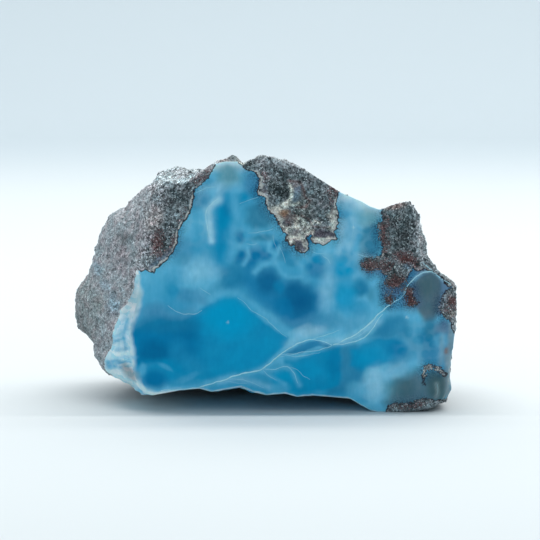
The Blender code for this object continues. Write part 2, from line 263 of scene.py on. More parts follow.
def basaltDepth(points, pastEdge):
    # millimetres inside the basalt, negative in the blue: past the depth at which the blue ends behind
    # the face, or inside a patch on the face
    x, y, z = points.T
    angle = np.degrees(np.arctan2(z - stoneShape["axisZ"], x - stoneShape["axisX"]))
    angle += latticeNoise(points, *basaltShape["angleWander"]) * np.clip(y / 4, 0, 1)
    blueEnds = np.interp(angle, *np.array(basaltShape["blueDepth"], float).T, period=360)
    depth = np.minimum(y - blueEnds + latticeNoise(points, *basaltShape["wander"]), 3 * pastEdge - 0.3)
    for outline in basaltShape["patches"].values():
        depth = np.maximum(depth, insidePatch(outline, x, z))
    return depth + sum(latticeNoise(points, *octave) for octave in basaltShape["craggy"])


def plainSurface(angle, along):
    # a star-shaped face at along 0 to 1, then profiles through the girth at 2, the shoulder at 3 and the
    # middle of the back at 4; with it, the distance past the face's edge, negative on the face
    shape = stoneShape
    edge = roundAxis([(x, 0, z) for x, z in shape["faceEdge"]], angle)[0]
    girth, girthDepth = roundAxis(shape["girth"], angle)
    shoulder, shoulderDepth = roundAxis(shape["shoulder"], angle, shape["shoulderBlend"])
    level = np.zeros_like(edge)
    behind = np.maximum(along - 1, 0)
    radius = smoothProfile([edge, girth, shoulder, level], behind, flatEnd=False)
    radius = np.where(along < 1, edge * along, radius)
    depth = smoothProfile([level, girthDepth, shoulderDepth, level + shape["backDepth"]], behind, flatEnd=True)
    x, z = shape["axisX"] + radius * np.cos(angle), shape["axisZ"] + radius * np.sin(angle)
    return np.stack([x, depth, z], axis=1), np.where(along < 1, radius - edge, np.hypot(radius - edge, depth))


def faceRelief(points):
    # how far back the ground face lies: the shallow chip below the ridge, the bowl of the eye-shaped
    # chip, a step between the right-hand lines, and a crest along each line
    x, z = points[:, 0], points[:, 2]
    back = np.zeros(len(x))
    for name, drop in (("ridge", 0.30), ("rightLower", 0.25), ("rightUpper", 0.12)):
        routeX, routeZ = np.array(faceLines[name], float).T
        below = np.interp(x, routeX, routeZ) - z
        within = fadeBetween(x, routeX[0] - 1, routeX[0] + 4) * fadeBetween(-x, -routeX[-1] - 1, 4 - routeX[-1])
        back += drop * within * fadeBetween(below, 0, 0.8) * fadeBetween(-below, -14, -4)
        back -= 0.14 * within * np.exp(-((below - 0.1) / 0.35) ** 2)
    top, bottom = (np.interp(x, *np.array(faceLines[name], float).T) for name in ("eyeTop", "eyeBottom"))
    bowl = np.clip(np.minimum(top - z, z - bottom), 0, None)
    return back + 0.45 * fadeBetween(bowl, 0, 0.9)


def faceProud(points, basalt):
    # how far the ground face stands out from its plane: basalt with its bumps and grain, relief in the blue
    rocky = np.clip(basalt / 0.8, 0, 1)
    proud = basaltShape["proud"] * np.clip(basalt / basaltShape["rimSlope"], 0, 1)
    proud += rocky * latticeNoise(points, *basaltShape["faceBumps"])
    proud += rocky * sum(latticeNoise(points, *octave) for octave in stoneShape["fineGrain"])
    return proud - (1 - rocky) * faceRelief(points)


def stoneSurface(angle, along):
    # the plain surface pulled in to the flat breaks, then pushed out by lumps, chips and grain
    shape = stoneShape
    points, pastEdge = plainSurface(angle, along)
    outward = points - shape["middle"]
    for way, distance in shape["breaks"]:
        reach = outward @ (np.array(way) / np.linalg.norm(way))
        outward = outward * np.where(reach > distance, distance / np.maximum(reach, 1), 1)[:, None]
    points = shape["middle"] + outward
    outward /= np.linalg.norm(outward, axis=1)[:, None]

    relief = sum(latticeNoise(points, *lump) for lump in shape["lumps"]) + chippedFacets(points, *shape["chips"])
    relief *= np.clip(pastEdge / shape["edgeFade"], 0, 1) * np.interp(along, *shape["reliefShare"])
    for x, y, z, radius, height in shape["knobs"]:
        relief += height * np.exp(-(((points - (x, y, z)) / radius) ** 2).sum(axis=1))
    basalt = basaltDepth(points, pastEdge)
    rocky = np.clip(basalt / 0.8, 0, 1)
    grain = sum(latticeNoise(points, *octave) for octave in shape["fineGrain"])
    onFace = along < 0.999
    proud = faceProud(points, basalt)
    fine = (0.35 + 0.65 * rocky) * grain + chippedFacets(points, *shape["fineChips"]) * np.clip(pastEdge / 2, 0, 1)
    points += outward * np.where(onFace, 0, relief + np.clip(pastEdge, 0, 1) * fine)[:, None]
    points[:, 1] -= np.where(onFace, proud, 0)
    points[:, 2] = np.maximum(points[:, 2], 0)  # level where it rests
    return points, basalt, pastEdge


def ringSquare(divisions):
    # a square grid read as rings: its angle round the middle, its ring from 0 to 1, the grid's indices
    # and the indices round its border, anticlockwise from the lower right
    u, v = np.meshgrid(*[np.linspace(-1, 1, divisions + 1)] * 2)
    ring = np.maximum(np.abs(u), np.abs(v))
    upright = np.abs(v) > np.abs(u)
    near, far = np.where(upright, (-u, v), (v, u))
    angle = math.pi / 4 * near / np.where(far == 0, 1, far)
    angle += np.where(upright, math.pi / 2, 0) + np.where(far < 0, math.pi, 0)
    index = np.arange(u.size).reshape(u.shape)
    border = np.concatenate([index[:-1, -1], index[-1, :0:-1], index[:0:-1, 0], index[0, :-1]])
    return angle.ravel(), ring.ravel(), index, border


def gridQuads(index):
    return np.stack([index[:-1, :-1], index[:-1, 1:], index[1:, 1:], index[1:, :-1]], axis=-1).reshape(-1, 4)


def stoneGrid():
    # angle and along of every point, and the faces: a square for the front, rings for the sides, twice as
    # fine close to the front, and a square for the back
    squares = stoneShape["squares"]
    frontAngle, frontRing, frontIndex, frontBorder = ringSquare(squares)
    backAngle, backRing, backIndex, backBorder = ringSquare(squares // 2)
    closeAlong = np.linspace(*stoneShape["closeRings"][:2], stoneShape["closeRings"][2] + 1)[1:]
    farAlong = np.linspace(*stoneShape["farRings"][:2], stoneShape["farRings"][2] + 1)[1:-1]
    closeAngle, farAngle = frontAngle[frontBorder], backAngle[backBorder]
    angle = np.concatenate(
        [frontAngle, np.tile(closeAngle, len(closeAlong)), np.tile(farAngle, len(farAlong)), backAngle]
    )
    along = np.concatenate(
        [frontRing, np.repeat(closeAlong, len(closeAngle)), np.repeat(farAlong, len(farAngle)), 4 - backRing]
    )
    closeStart = len(frontAngle)
    farStart = closeStart + len(closeAlong) * len(closeAngle)
    backStart = farStart + len(farAlong) * len(farAngle)
    close = np.vstack([frontBorder, np.arange(closeStart, farStart).reshape(len(closeAlong), -1)])
    far = np.vstack([np.arange(farStart, backStart).reshape(len(farAlong), -1), backBorder + backStart])
    close, far = (np.hstack([rings, rings[:, :1]]) for rings in (close, far))
    fine, coarse = close[-1], far[0]
    quads = np.vstack(
        [gridQuads(frontIndex), gridQuads(close.T), gridQuads(far.T), gridQuads(backIndex.T + backStart)]
    )
    triangles = np.vstack(
        [
            np.stack([fine[:-1:2], coarse[:-1], fine[1::2]], axis=1),
            np.stack([fine[1::2], coarse[:-1], coarse[1:]], axis=1),
            np.stack([fine[1::2], coarse[1:], fine[2::2]], axis=1),
        ]
    )
    return angle, along, quads, triangles


def newPiece(name, points, faces, material, smooth=True):
    mesh = bpy.data.meshes.new(name)
    mesh.from_pydata(points.tolist(), [], faces)
    mesh.materials.append(material)
    mesh.polygons.foreach_set("use_smooth", [smooth] * len(mesh.polygons))
    piece = bpy.data.objects.new(name, mesh)
    bpy.context.scene.collection.objects.link(piece)
    return piece


def addNumbers(piece, name, values):
    layer = piece.data.attributes.new(name, "FLOAT", "POINT")
    layer.data.foreach_set("value", values.astype(np.float32))


def addColours(piece, name, colours):
    layer = piece.data.attributes.new(name, "FLOAT_COLOR", "POINT")
    layer.data.foreach_set("color", np.hstack([colours, np.ones((len(colours), 1))]).astype(np.float32).ravel())


def rowPlaces(points):
    return (points - (stoneShape["centreX"], stoneShape["centreY"], 0)) * mm


faceGain = np.array([0.655, 0.68, 0.72])  # what the light on the upright face multiplies a colour by


def seenTone(red, green, blue):
    # the colour that is seen as these screen values under this light
    tone = np.array([red, green, blue]) / 255
    linear = np.where(tone <= 0.04045, tone / 12.92, ((tone + 0.055) / 1.055) ** 2.4)
    return np.minimum(linear / faceGain, 0.93)


# The blue's tones, and where each lies on the ground face: soft-edged areas, then round spots, then lines.
bluePaint = {
    "tones": {
        "ink": (0, 84, 130), "deep": (0, 108, 156), "azure": (0, 128, 173), "glow": (0, 141, 186),
        "mid": (28, 132, 174), "sky": (86, 164, 197), "veil": (140, 188, 211), "frost": (190, 212, 222),
        "denim": (18, 112, 153), "slate": (62, 130, 168), "sea": (44, 114, 146), "teal": (94, 147, 162),
        "moss": (74, 98, 111), "fog": (112, 134, 146), "plum": (84, 106, 134), "pine": (56, 84, 92), "umber": (118, 92, 84),
    },
    "ground": "sky",
    "warp": ((0.9, 6, 41), (0.35, 2.2, 42)),
    "mottle": ((0.10, 5, 65), (0.09, 2.2, 66), (0.05, 1.1, 67)),
    # the pale chipped lower edge, partly a painted highlight along its bevel: its width at each x, and its tone
    "bevelWidth": ((-39, -30, -26, 34, 35), (1.3, 1.1, 0.3, 0.3, 0)), "bevelChipAndHighlightTone": (192, 212, 222),
    # tone, amount, width of the soft edge, outline
    "areas": [
        ("mid", 0.45, 5, [(-24, 66), (-19, 68), (-19, 60), (-22, 52), (-24, 47), (-28, 41), (-36, 38), (-38, 28), (-30, 28), (-24, 40), (-18, 50)]),
        ("mid", 0.55, 5, [(-14, 68), (-3, 68), (-3, 58), (4, 50), (8, 46), (24, 46), (26, 34), (16, 24), (4, 24), (-12, 34), (-14, 46)]),
        ("mid", 0.8, 3, [(-30, 12.5), (-24, 12), (-18, 12), (-12, 12), (-6, 12), (0, 13.5), (5, 13.5), (8, 9),
                         (22, 7), (28, 6), (29, 3), (24, 3), (10, 4), (0, 4), (-10, 6.5), (-18, 6), (-28, 6.5), (-30, 9)]),
        ("azure", 0.95, 1.5, [(-40, 24), (-35, 26.5), (-31, 27.8), (-26, 27.6), (-21.5, 28.8), (-18.5, 31.4),
                              (-14.5, 33.8), (-11, 34.2), (-8.3, 33.8), (-6.2, 31.4), (-4.5, 29.4), (-1, 26.8),
                              (1.5, 24.9), (4, 23), (5.6, 21.8), (5.2, 19.6), (2.4, 16.4), (-2, 12.8),
                              (-8, 10.8), (-14, 9.2), (-19, 8.6), (-24, 10.5), (-29, 13.4), (-33, 14.6), (-38.5, 13.6)]),
        ("deep", 0.85, 7, [(-41, 26), (-34, 28), (-26, 28), (-20, 26), (-19, 20), (-21, 14), (-28, 14), (-33, 14), (-39, 14)]),
        ("denim", 0.8, 3, [(17, 20), (26, 20.8), (28, 15), (28, 9), (24, 5.4), (17, 5)]),
        ("azure", 0.95, 1.6, [(4.5, 16.5), (8, 16.6), (13, 17.4), (17.5, 18.4), (21, 19.6), (21, 14), (21, 8),
                              (16, 6), (8, 5.4), (2, 6.6), (1, 9.4), (6, 12)]),
        ("deep", 0.75, 6, [(-8, 47.6), (-4.5, 48.6), (-1, 47.8), (0.6, 45.5), (-2.5, 43), (-3.5, 41.2),
                             (-1.5, 41.4), (1.5, 42.3), (3, 40.5), (4, 38.4), (9, 38.6), (13, 36.8), (15.4, 34),
                             (14.6, 29), (11, 25.4), (6, 25.4), (1, 29), (-3, 32), (-6.5, 35.5), (-9, 39), (-7.5, 43.5)]),
        # painted shade in the hollow of the eye-shaped chip
        ("deep", 0.75, 0.7, [(4.1, 17.2), (6.4, 19.2), (9.3, 20.4), (13.7, 21), (16.6, 20.4), (18.6, 19.6), (15.7, 19.1), (12.2, 18.5),
                             (9.3, 17.8), (6.4, 17)]),
        ("azure", 0.9, 1.8, [(24, 18.6), (28, 20.6), (33, 21.6), (38, 21.4), (41, 19.6), (40.6, 17.2), (37, 15.2),
                             (32, 13.4), (27, 12.4), (23.6, 14)]),
        ("denim", 0.75, 3.4, [(28, 21.6), (31, 25), (35, 28), (39, 29), (42, 26), (41, 21.5), (34, 21)]),
        ("denim", 0.65, 4, [(41.5, 24), (43.4, 18), (46, 14), (51, 14), (52, 18), (52, 24), (49, 25), (45, 27)]),
        ("plum", 0.85, 2, [(40, 38), (41, 41.5), (45, 44), (50, 43), (53.4, 38.4), (54, 33), (50, 28), (47, 30), (49, 37),
                           (46, 41), (43, 40)]),
        ("moss", 0.95, 1.8, [(41, 37.4), (43.2, 40.2), (45.4, 41.6), (48, 41.2), (50.2, 39), (50.6, 34), (49.2, 29), (47.6, 26.4),
                             (44.8, 27.4), (42.6, 32)]),
        ("moss", 0.85, 5, [(34.6, 3), (36.6, 8), (40, 12.4), (43, 12.6), (46.4, 10), (52.5, 12), (54, 6), (50, 0), (36, 0)]),
        ("fog", 0.85, 1.4, [(52.4, 26), (56, 25), (56, 5), (51.2, 3.6), (50.4, 7), (50.8, 12), (51.6, 18)]),
        # painted shadow: these two darker areas lie along the tongue and the right shoulder, where they shade the blue
        ("sea", 0.8, 3.4, [(-5.8, 60), (-2.5, 62), (0.5, 59), (2.4, 56), (0, 53.6), (-4, 53.4), (-6.5, 56)]),
        ("sea", 0.85, 2.6, [(27.6, 55.6), (31.6, 55.5), (32.6, 50), (31, 45.6), (28, 44.8), (26.2, 46.2), (26.6, 51)]),
        # pale blue along the top edges of the face, partly painted light where the light from above catches them
        ("frost", 0.75, 3.2, [(-17.4, 71.4), (-14.5, 70.8), (-9, 71), (-6, 71.8), (-7, 77), (-17.4, 77)]),
        ("frost", 0.75, 3.4, [(20.6, 61.8), (24, 61), (27.4, 58.4), (33, 57.6), (33, 65), (20.6, 67)]),
        ("sea", 0.35, 3, [(21.4, 62.6), (24, 61), (24, 57), (22, 52), (20.6, 54), (20.4, 58)]),
        ("frost", 0.72, 1.6, [(-60, 45), (-37.4, 42), (-36.6, 36), (-37.4, 30), (-39.2, 26), (-39.9, 20), (-38.4, 11), (-37, 7.6),
                              (-33, 6), (-26, 6.8), (-26, 3), (-60, 3)]),
    ],
    # tone, amount, x, z, half width, half height, degrees turned
    "spots": [
        ("glow", 1.0, -11.5, 28, 9, 7.5, 0), ("glow", 0.4, -6, 17, 12, 5, 20), ("ink", 0.5, -33.5, 17.8, 6, 4, 5),
        ("ink", 0.3, -24, 23.5, 4.5, 4, 0), ("mid", 0.45, -25.8, 16.5, 3.4, 6, 10), ("mid", 0.35, -20, 12, 4, 4, 0),
        ("azure", 0.9, -31, 12, 9, 4, 0), ("sky", 0.4, -30, 13.4, 2.6, 0.7, -25), ("sky", 0.5, -36.6, 12.6, 1.2, 2.2, 0),
        ("deep", 1.0, -33, 9.8, 4.2, 3.2, 0), ("mid", 0.5, -22, 13, 3, 5, 20), ("sky", 0.35, -24, 10, 4, 1.2, 20),
        ("slate", 0.7, -29, 29.6, 10, 2.6, 0), ("denim", 0.75, -30, 26, 11, 3.2, 0), ("denim", 0.8, 46.5, 21, 7, 7, 0),
        ("mid", 0.6, -26, 33, 6, 4, 0), ("denim", 0.4, 33, 26.5, 5, 4, 20),
        ("ink", 0.7, 0.4, 38.6, 4, 4.4, 10), ("ink", 0.75, 8.4, 34.6, 5.6, 5.4, 0), ("ink", 0.5, 10.4, 30, 5, 5.4, 0),
        ("deep", 0.7, 4.4, 31, 3.4, 4, 20), ("deep", 0.9, -4.6, 45.4, 2.6, 3.2, 0),
        ("deep", 0.9, -0.8, 46.2, 2.8, 1.8, -10), ("azure", 0.5, 3.4, 37, 1.8, 2.4, 0), ("slate", 0.5, 8, 26.6, 7, 1.8, -8),
        ("denim", 0.75, -10.5, 40.5, 5, 6, 0), ("slate", 0.7, -22, 34, 7, 3, -8), ("mid", 0.8, -28, 36, 2.2, 3, 0),
        ("denim", 0.35, -14, 36.6, 5, 2.2, 20), ("slate", 0.5, -34, 30, 5, 2.4, 0), ("slate", 0.6, -24.8, 48, 3.8, 4, 0),
        ("veil", 0.4, -19, 42.6, 7.4, 5, 10), ("mid", 0.4, -18.6, 48, 3.6, 5, 0),
        ("mid", 0.6, -15.3, 51, 3, 10, 0), ("azure", 1.0, -12.4, 57.5, 4.2, 8, 0), ("deep", 0.4, -11.9, 59.6, 1.8, 2.6, 0),
        ("azure", 0.9, -13, 48, 3.6, 6, 0), ("slate", 0.8, -18.8, 62.4, 3.2, 3, 20), ("mid", 0.5, -17, 66.6, 2.4, 2, 0),
        ("azure", 0.95, -7.4, 63.4, 2.8, 2.2, 25), ("slate", 0.9, -4.6, 67.4, 3.4, 4.2, 0), ("denim", 0.5, -3.6, 64, 2.2, 2.4, 0),
        ("teal", 0.75, -11.4, 69.2, 4.6, 3.8, 0), ("moss", 0.2, -10.6, 69, 2.6, 2, 0), ("veil", 0.25, -12, 66, 5.4, 2, 0), ("teal", 0.4, -13, 71.4, 4, 1.3, 0),
        ("deep", 1.0, -8.4, 51.6, 2, 2.4, -15), ("deep", 1.0, -7.6, 46, 2.3, 1.9, 35), ("sea", 0.7, -1.2, 51.2, 3.8, 1.5, 0),
        ("deep", 0.9, 1.8, 49.2, 1.2, 1.5, 0), ("ink", 0.75, 12.1, 51, 1.1, 1.8, 0), ("denim", 0.7, 4.4, 46.8, 2.6, 2.2, 0), ("denim", 0.5, 7, 44.4, 2.4, 1.8, 0),
        ("deep", 0.8, 14.2, 42.4, 3.4, 3.2, 0), ("azure", 0.8, 14.4, 45, 3, 1.2, 0), ("deep", 0.4, 11.6, 41.6, 1.6, 2, 0),
        ("glow", 0.95, 21.4, 42, 4.2, 2.8, 8), ("denim", 0.9, 27, 36.6, 3.6, 3.2, 0), ("glow", 0.75, 22.6, 34, 4, 5, 0),
        ("azure", 0.55, 26.4, 30.6, 4, 2.6, 0), ("azure", 0.5, 22.6, 47, 3, 3.4, 0), ("azure", 0.8, 22.2, 58.4, 2.4, 1.4, 0),
        ("mid", 0.6, 24.2, 53, 3, 4.6, 0), ("veil", 0.45, 22.6, 53, 1.6, 6.4, 5), ("veil", 0.5, 26.4, 56.6, 3, 2, -20), ("veil", 0.3, 17, 35.5, 3.4, 7.4, 0), ("slate", 0.6, 15, 26.4, 8, 3.4, 5),
        ("veil", 0.5, 10.5, 24.2, 4.4, 1.8, 15), ("slate", 0.4, 25, 26.5, 6, 3, 25), ("denim", 0.6, 30.4, 41.4, 3.6, 2.6, 20),
        ("sea", 0.85, 31.6, 35, 2.6, 3.4, 0), ("veil", 0.4, 24.4, 60.6, 3, 2, 0), ("veil", 0.6, 31.2, 8.4, 4, 6, -10), ("teal", 0.3, 36, 6.4, 3, 4, 0), ("pine", 0.45, 39.6, 7.4, 4.6, 4.4, 0),
        ("glow", 0.7, 4.6, 10, 4.6, 2.8, 0), ("glow", 0.5, 12, 12.5, 5, 4, 0), ("deep", 0.5, 19.4, 14.4, 1.8, 5, 0),
        ("sky", 0.6, 26, 6.4, 4, 3, 0), ("sky", 0.5, 3, 7, 4, 1.6, 0), ("deep", 0.55, 37.4, 19, 4, 2.6, 0),
        ("glow", 0.6, 29, 16.4, 5, 3, 0), ("teal", 0.8, 28.6, 57.6, 4.4, 3, -20), ("sky", 0.4, 25.4, 57.4, 2.4, 3.4, 0), ("slate", 0.7, 37.6, 36, 4, 2.4, 0),
        ("slate", 0.6, 38.6, 15.4, 5, 2.6, 30), ("veil", 0.4, 37.4, 12.4, 4, 2.4, 30), ("slate", 0.85, 41, 40.6, 2.6, 2, 0),
        ("plum", 0.75, 31, 43, 6, 3.6, 0), ("plum", 0.8, 36.5, 36.6, 5, 4.6, 0), ("plum", 0.8, 41.5, 33.8, 4, 4.4, 0), ("sea", 0.8, 47.4, 24.6, 2.2, 3.2, 0), ("sky", 0.5, 43.6, 26, 2.6, 3, 0), ("slate", 0.6, 45.4, 16.6, 3.4, 2, 0), ("slate", 0.7, 50, 17, 3, 6, 0), ("plum", 0.8, 50.6, 24.6, 2.6, 2.4, 0),
        ("denim", 0.6, 46.6, 20.4, 2, 1.6, 30), ("sky", 0.5, 50, 21, 2, 2, 0), ("moss", 0.5, 41, 38, 1.6, 2, 0),
        ("pine", 0.8, 49.4, 8, 4.4, 4.4, 0), ("pine", 0.5, 45.6, 36.6, 3.4, 3.4, 0), ("sky", 0.35, 40.6, 12.6, 3, 2.6, 30), ("sea", 0.3, -24.6, 45, 3, 2, 40), ("slate", 0.7, 38.4, 30.6, 2.4, 1.4, 20),
        # the first pale speck, on the bright dome, is a painted highlight; the other two are pale specks of the stone
        ("frost", 0.35, -11.7, 26.2, 0.45, 0.45, 0), ("frost", 0.4, 24.8, 54.7, 0.4, 0.4, 0), ("frost", 0.45, 40.6, 27.8, 0.45, 0.45, 0),
        ("pine", 0.6, 50, 6, 3.4, 4, 0), ("pine", 0.7, 48.6, 10.6, 2.6, 2.2, 0), ("fog", 0.7, 53, 13, 1.8, 12, 0), ("umber", 0.75, 51.9, 17.8, 0.7, 1, 0), ("veil", 0.3, 50.6, 19, 0.8, 4, 0), ("veil", 0.3, 12, 23.4, 5, 1.4, 12),
        # the pale broken facet at the lower left
        ("sky", 0.45, -40.4, 37, 2.6, 4, -15), ("fog", 0.4, -40, 33, 3, 7, -15), ("sky", 0.45, -42.4, 24, 2.6, 6, -15), ("mid", 0.7, -45.4, 13.6, 3.6, 1.1, 8),
        ("azure", 0.55, -47, 12.2, 1.6, 0.7, 0), ("sky", 0.6, -41.6, 15.6, 3.6, 0.8, 10), ("fog", 0.95, -40.4, 11.4, 4, 2.4, -30),
        ("sky", 0.7, -36.6, 6, 3, 1.6, -35), ("sky", 0.5, -45.6, 20.6, 1.8, 1.6, 0), ("mid", 0.4, -43, 18, 3, 0.7, 14),
    ],
    # tone, amount, half width, line by name or points
    "lines": [
        ("sky", 0.55, 1.2, [(-17, 33.6), (-13, 35.2), (-9, 35.2), (-6, 33), (-3, 30.6), (0, 28.8), (3, 26.4), (5, 24.5)]),
        ("sky", 0.7, 0.9, "ridge"), ("sky", 0.6, 0.8, "branch"), ("sky", 0.6, 0.9, "rightUpper"), ("sky", 0.6, 0.9, "rightLower"),
        ("veil", 0.4, 1.4, [(6, 20), (9.5, 22), (12.5, 23.4), (16, 24.4)]), ("veil", 0.4, 1.2, [(16.5, 20.8), (22, 21.2), (27, 23.4), (32, 27)]),
        ("sky", 0.5, 0.9, [(1, 14.8), (4, 16), (8, 16)]), ("veil", 0.3, 1, [(-14, 9.2), (-8, 9.6), (-4, 8.8), (0, 7.4)]),
        ("sky", 0.5, 0.6, [(-2, 12), (1.5, 10.2), (5, 8.2)]), ("sky", 0.5, 1, [(-18, 8.6), (-14, 9.6), (-10, 10.8)]),
        ("veil", 0.95, 1.0, [(-14.4, 62.4), (-16, 61.2), (-17.2, 59.4), (-17, 56), (-16.6, 53), (-16.4, 50.5)]),
        ("veil", 0.45, 1.3, [(-14.2, 66.6), (-14, 62.5)]), ("veil", 0.3, 1.1, [(-21, 64.6), (-18.4, 66), (-15.4, 66.6)]),
        ("sky", 0.6, 1.5, [(-9, 65), (-10, 61), (-9, 57), (-10.2, 53), (-9.8, 48.5), (-11.4, 45)]),
        ("sky", 0.5, 1, [(-7, 54), (-4, 53.2), (0, 53.6), (2.4, 52)]), ("sky", 0.5, 0.9, [(-9, 49.4), (-6, 49), (-3, 50), (0, 49.6)]),
        ("sky", 0.8, 0.7, [(-6, 48.4), (-5.6, 46), (-7, 43.6)]), ("sky", 0.8, 0.9, [(-3.8, 41.4), (-1.6, 43.4), (1, 44), (2, 46)]),
        ("sky", 0.8, 0.6, [(0.4, 49.6), (0.2, 47.6), (2.6, 46.6), (3.4, 49)]), ("sky", 0.6, 0.7, [(2.2, 44), (4, 41), (6, 39.8), (10, 40)]),
        ("sky", 0.5, 1.2, [(9, 44), (10.4, 41.6), (11, 39)]), ("veil", 0.25, 1.5, [(16.6, 46.6), (17.8, 44), (18, 40.6), (16.8, 36)]),
        ("veil", 0.35, 1.2, [(24.6, 57), (24.8, 52), (23.6, 48)]), ("sky", 0.6, 1.6, [(31, 40), (31.6, 34), (31, 29)]),
        ("veil", 0.5, 1, [(20.6, 56), (21.4, 51), (20.4, 47)]), ("veil", 0.4, 0.8, [(25.4, 46.6), (28, 46.2), (30.4, 45.6)]),
        ("veil", 0.6, 0.45, [(40.6, 37), (42.6, 39.6), (45, 41.4), (47.4, 41.8), (49.4, 40.4), (51, 38.8), (53, 37.6)]),
        ("slate", 0.7, 1.2, [(35.4, 30.6), (38, 33), (40, 36), (41, 38)]), ("frost", 0.2, 0.6, [(49.2, 8.4), (49.6, 6), (49.2, 4.4)]),
        ("sky", 0.35, 1.3, [(42.4, 23.4), (44, 19), (43, 14.6)]), ("fog", 0.4, 0.8, [(50.4, 22), (50.8, 18), (50.2, 14.4)]),
        ("mid", 0.6, 0.4, [(-47, 18.6), (-44, 20.4), (-42, 21.4)]), ("mid", 0.6, 0.35, [(-44, 13.6), (-41.6, 14.6), (-40.2, 14.6)]),
        ("azure", 0.6, 0.45, [(-48, 11.8), (-45.6, 12.8), (-43, 12.6)]), ("mid", 0.6, 0.5, [(-41, 27), (-42.4, 22), (-41.6, 18)]),
    ],
}

# Thin veins of calcite that stand a hair proud of the ground face: amount, half width, x and z of the line.
veinShape = {
    "tone": (160, 202, 230), "proud": 0.03, "sunk": 0.12, "step": 0.45, "wander": ((0.22, 2.4, 71), (0.10, 0.9, 72)),
    "lines": [
        (0.75, 0.17, [(-31.5, 6.4), (-24, 6.8), (-19, 7.6), (-16, 8.6), (-12, 9.8), (-9, 11), (-5.5, 11.8), (-1.6, 12.6),
                      (0.4, 14.4), (3.5, 17.2), (6.5, 19.2), (9.5, 20.7), (12.4, 21.6), (15.6, 21), (18.8, 19.8)]),
        (0.5, 0.12, [(12.4, 21.5), (15, 22.3), (18, 23.2), (21, 24.4)]),
        (0.55, 0.12, [(3.4, 17.2), (7, 17), (9.4, 17.8), (13, 18.1), (16, 18.6), (18.8, 19.8)]),
        (0.31, 0.13, [(2.4, 16.4), (5, 16.6), (9, 16.4), (12, 17), (15.4, 17.8)]),
        (0.75, 0.19, [(18.8, 19.8), (22, 21.2), (25.4, 22.9), (28.4, 25.2), (30.4, 27), (32, 29), (35, 31.4), (38, 33.4)]),
        (0.7, 0.17, [(18.8, 19.8), (22, 20.2), (25.8, 21), (28.4, 22.4), (30.4, 24.4), (31.8, 27), (33.4, 29.2)]),
        (0.28, 0.11, [(22, 21.2), (26, 22.2), (29.4, 24.6)]),
        (0.42, 0.13, [(-1.6, 12.6), (2, 12.6), (5, 13.6), (6.4, 13.4), (7.8, 11), (8.8, 8.2)]),
        (0.31, 0.1, [(6.4, 13.4), (8.6, 12.4), (10.6, 10.6), (12.4, 9.6)]),
        (0.28, 0.11, [(-1.6, 12.4), (0.4, 10.6), (2.8, 9.2)]),
        (0.31, 0.11, [(-12.6, 9.6), (-8, 9.8), (-4.4, 8.6), (-1, 7)]), (0.25, 0.09, [(-13, 9.2), (-9.4, 8.6), (-6, 8.4)]),
        (0.3, 0.12, [(-9, 34), (-6.8, 32.6), (-5.4, 30.6), (-3.4, 29.2), (-0.6, 27.8), (1.2, 25.6), (3.6, 23.6), (5.6, 22)]),
        (0.34, 0.14, [(-29.2, 31.6), (-27, 29.8), (-24.4, 29), (-21.5, 28.9), (-19.2, 30.2)]),
        (0.31, 0.12, [(-20, 36.8), (-18.4, 35.8), (-16.6, 34.8)]),
        (0.4, 0.17, [(-14.2, 62.8), (-16, 61.4), (-18, 59.6), (-17.9, 57), (-17.4, 53.4), (-16.8, 50.8)]),
        (0.31, 0.11, [(-8.4, 61), (-5.4, 62.4), (-2.4, 63.4)]), (0.31, 0.11, [(-21, 64.4), (-18, 65.8), (-15, 66.2)]),
        (0.31, 0.12, [(-6, 52.6), (-3, 53), (0, 53.4), (1.6, 54)]), (0.28, 0.11, [(-6.6, 49.6), (-4.6, 49.2), (-3, 49.8)]),
        (0.31, 0.11, [(3.4, 48.8), (4.6, 46), (5, 43.8)]), (0.31, 0.11, [(1.4, 52.2), (1.6, 50.4), (2.6, 48)]),
        (0.31, 0.13, [(15.6, 46.2), (17.4, 45.2), (18.2, 43.4)]), (0.31, 0.12, [(24.8, 56.6), (24.8, 54), (24.2, 51.4)]),
        (0.31, 0.11, [(25.8, 46.8), (27.4, 46.2), (29.6, 45.6)]), (0.25, 0.11, [(12.4, 47.4), (15, 46.6), (17, 46.8)]),
        (0.65, 0.14, [(39.2, 35), (41, 38), (43.2, 40.2), (45.4, 41.4), (47.6, 41.6), (49.4, 40.2), (51.2, 38.8), (53.2, 37.8)]),
        (0.6, 0.13, [(44.4, 44.6), (46, 43.2), (47.8, 41.6)]),
        (0.31, 0.13, [(37.6, 33), (39.4, 34.4), (40.6, 37)]),
        (0.2, 0.11, [(49.4, 8.6), (49.8, 6.4), (49.4, 4.6)]),
    ],
}

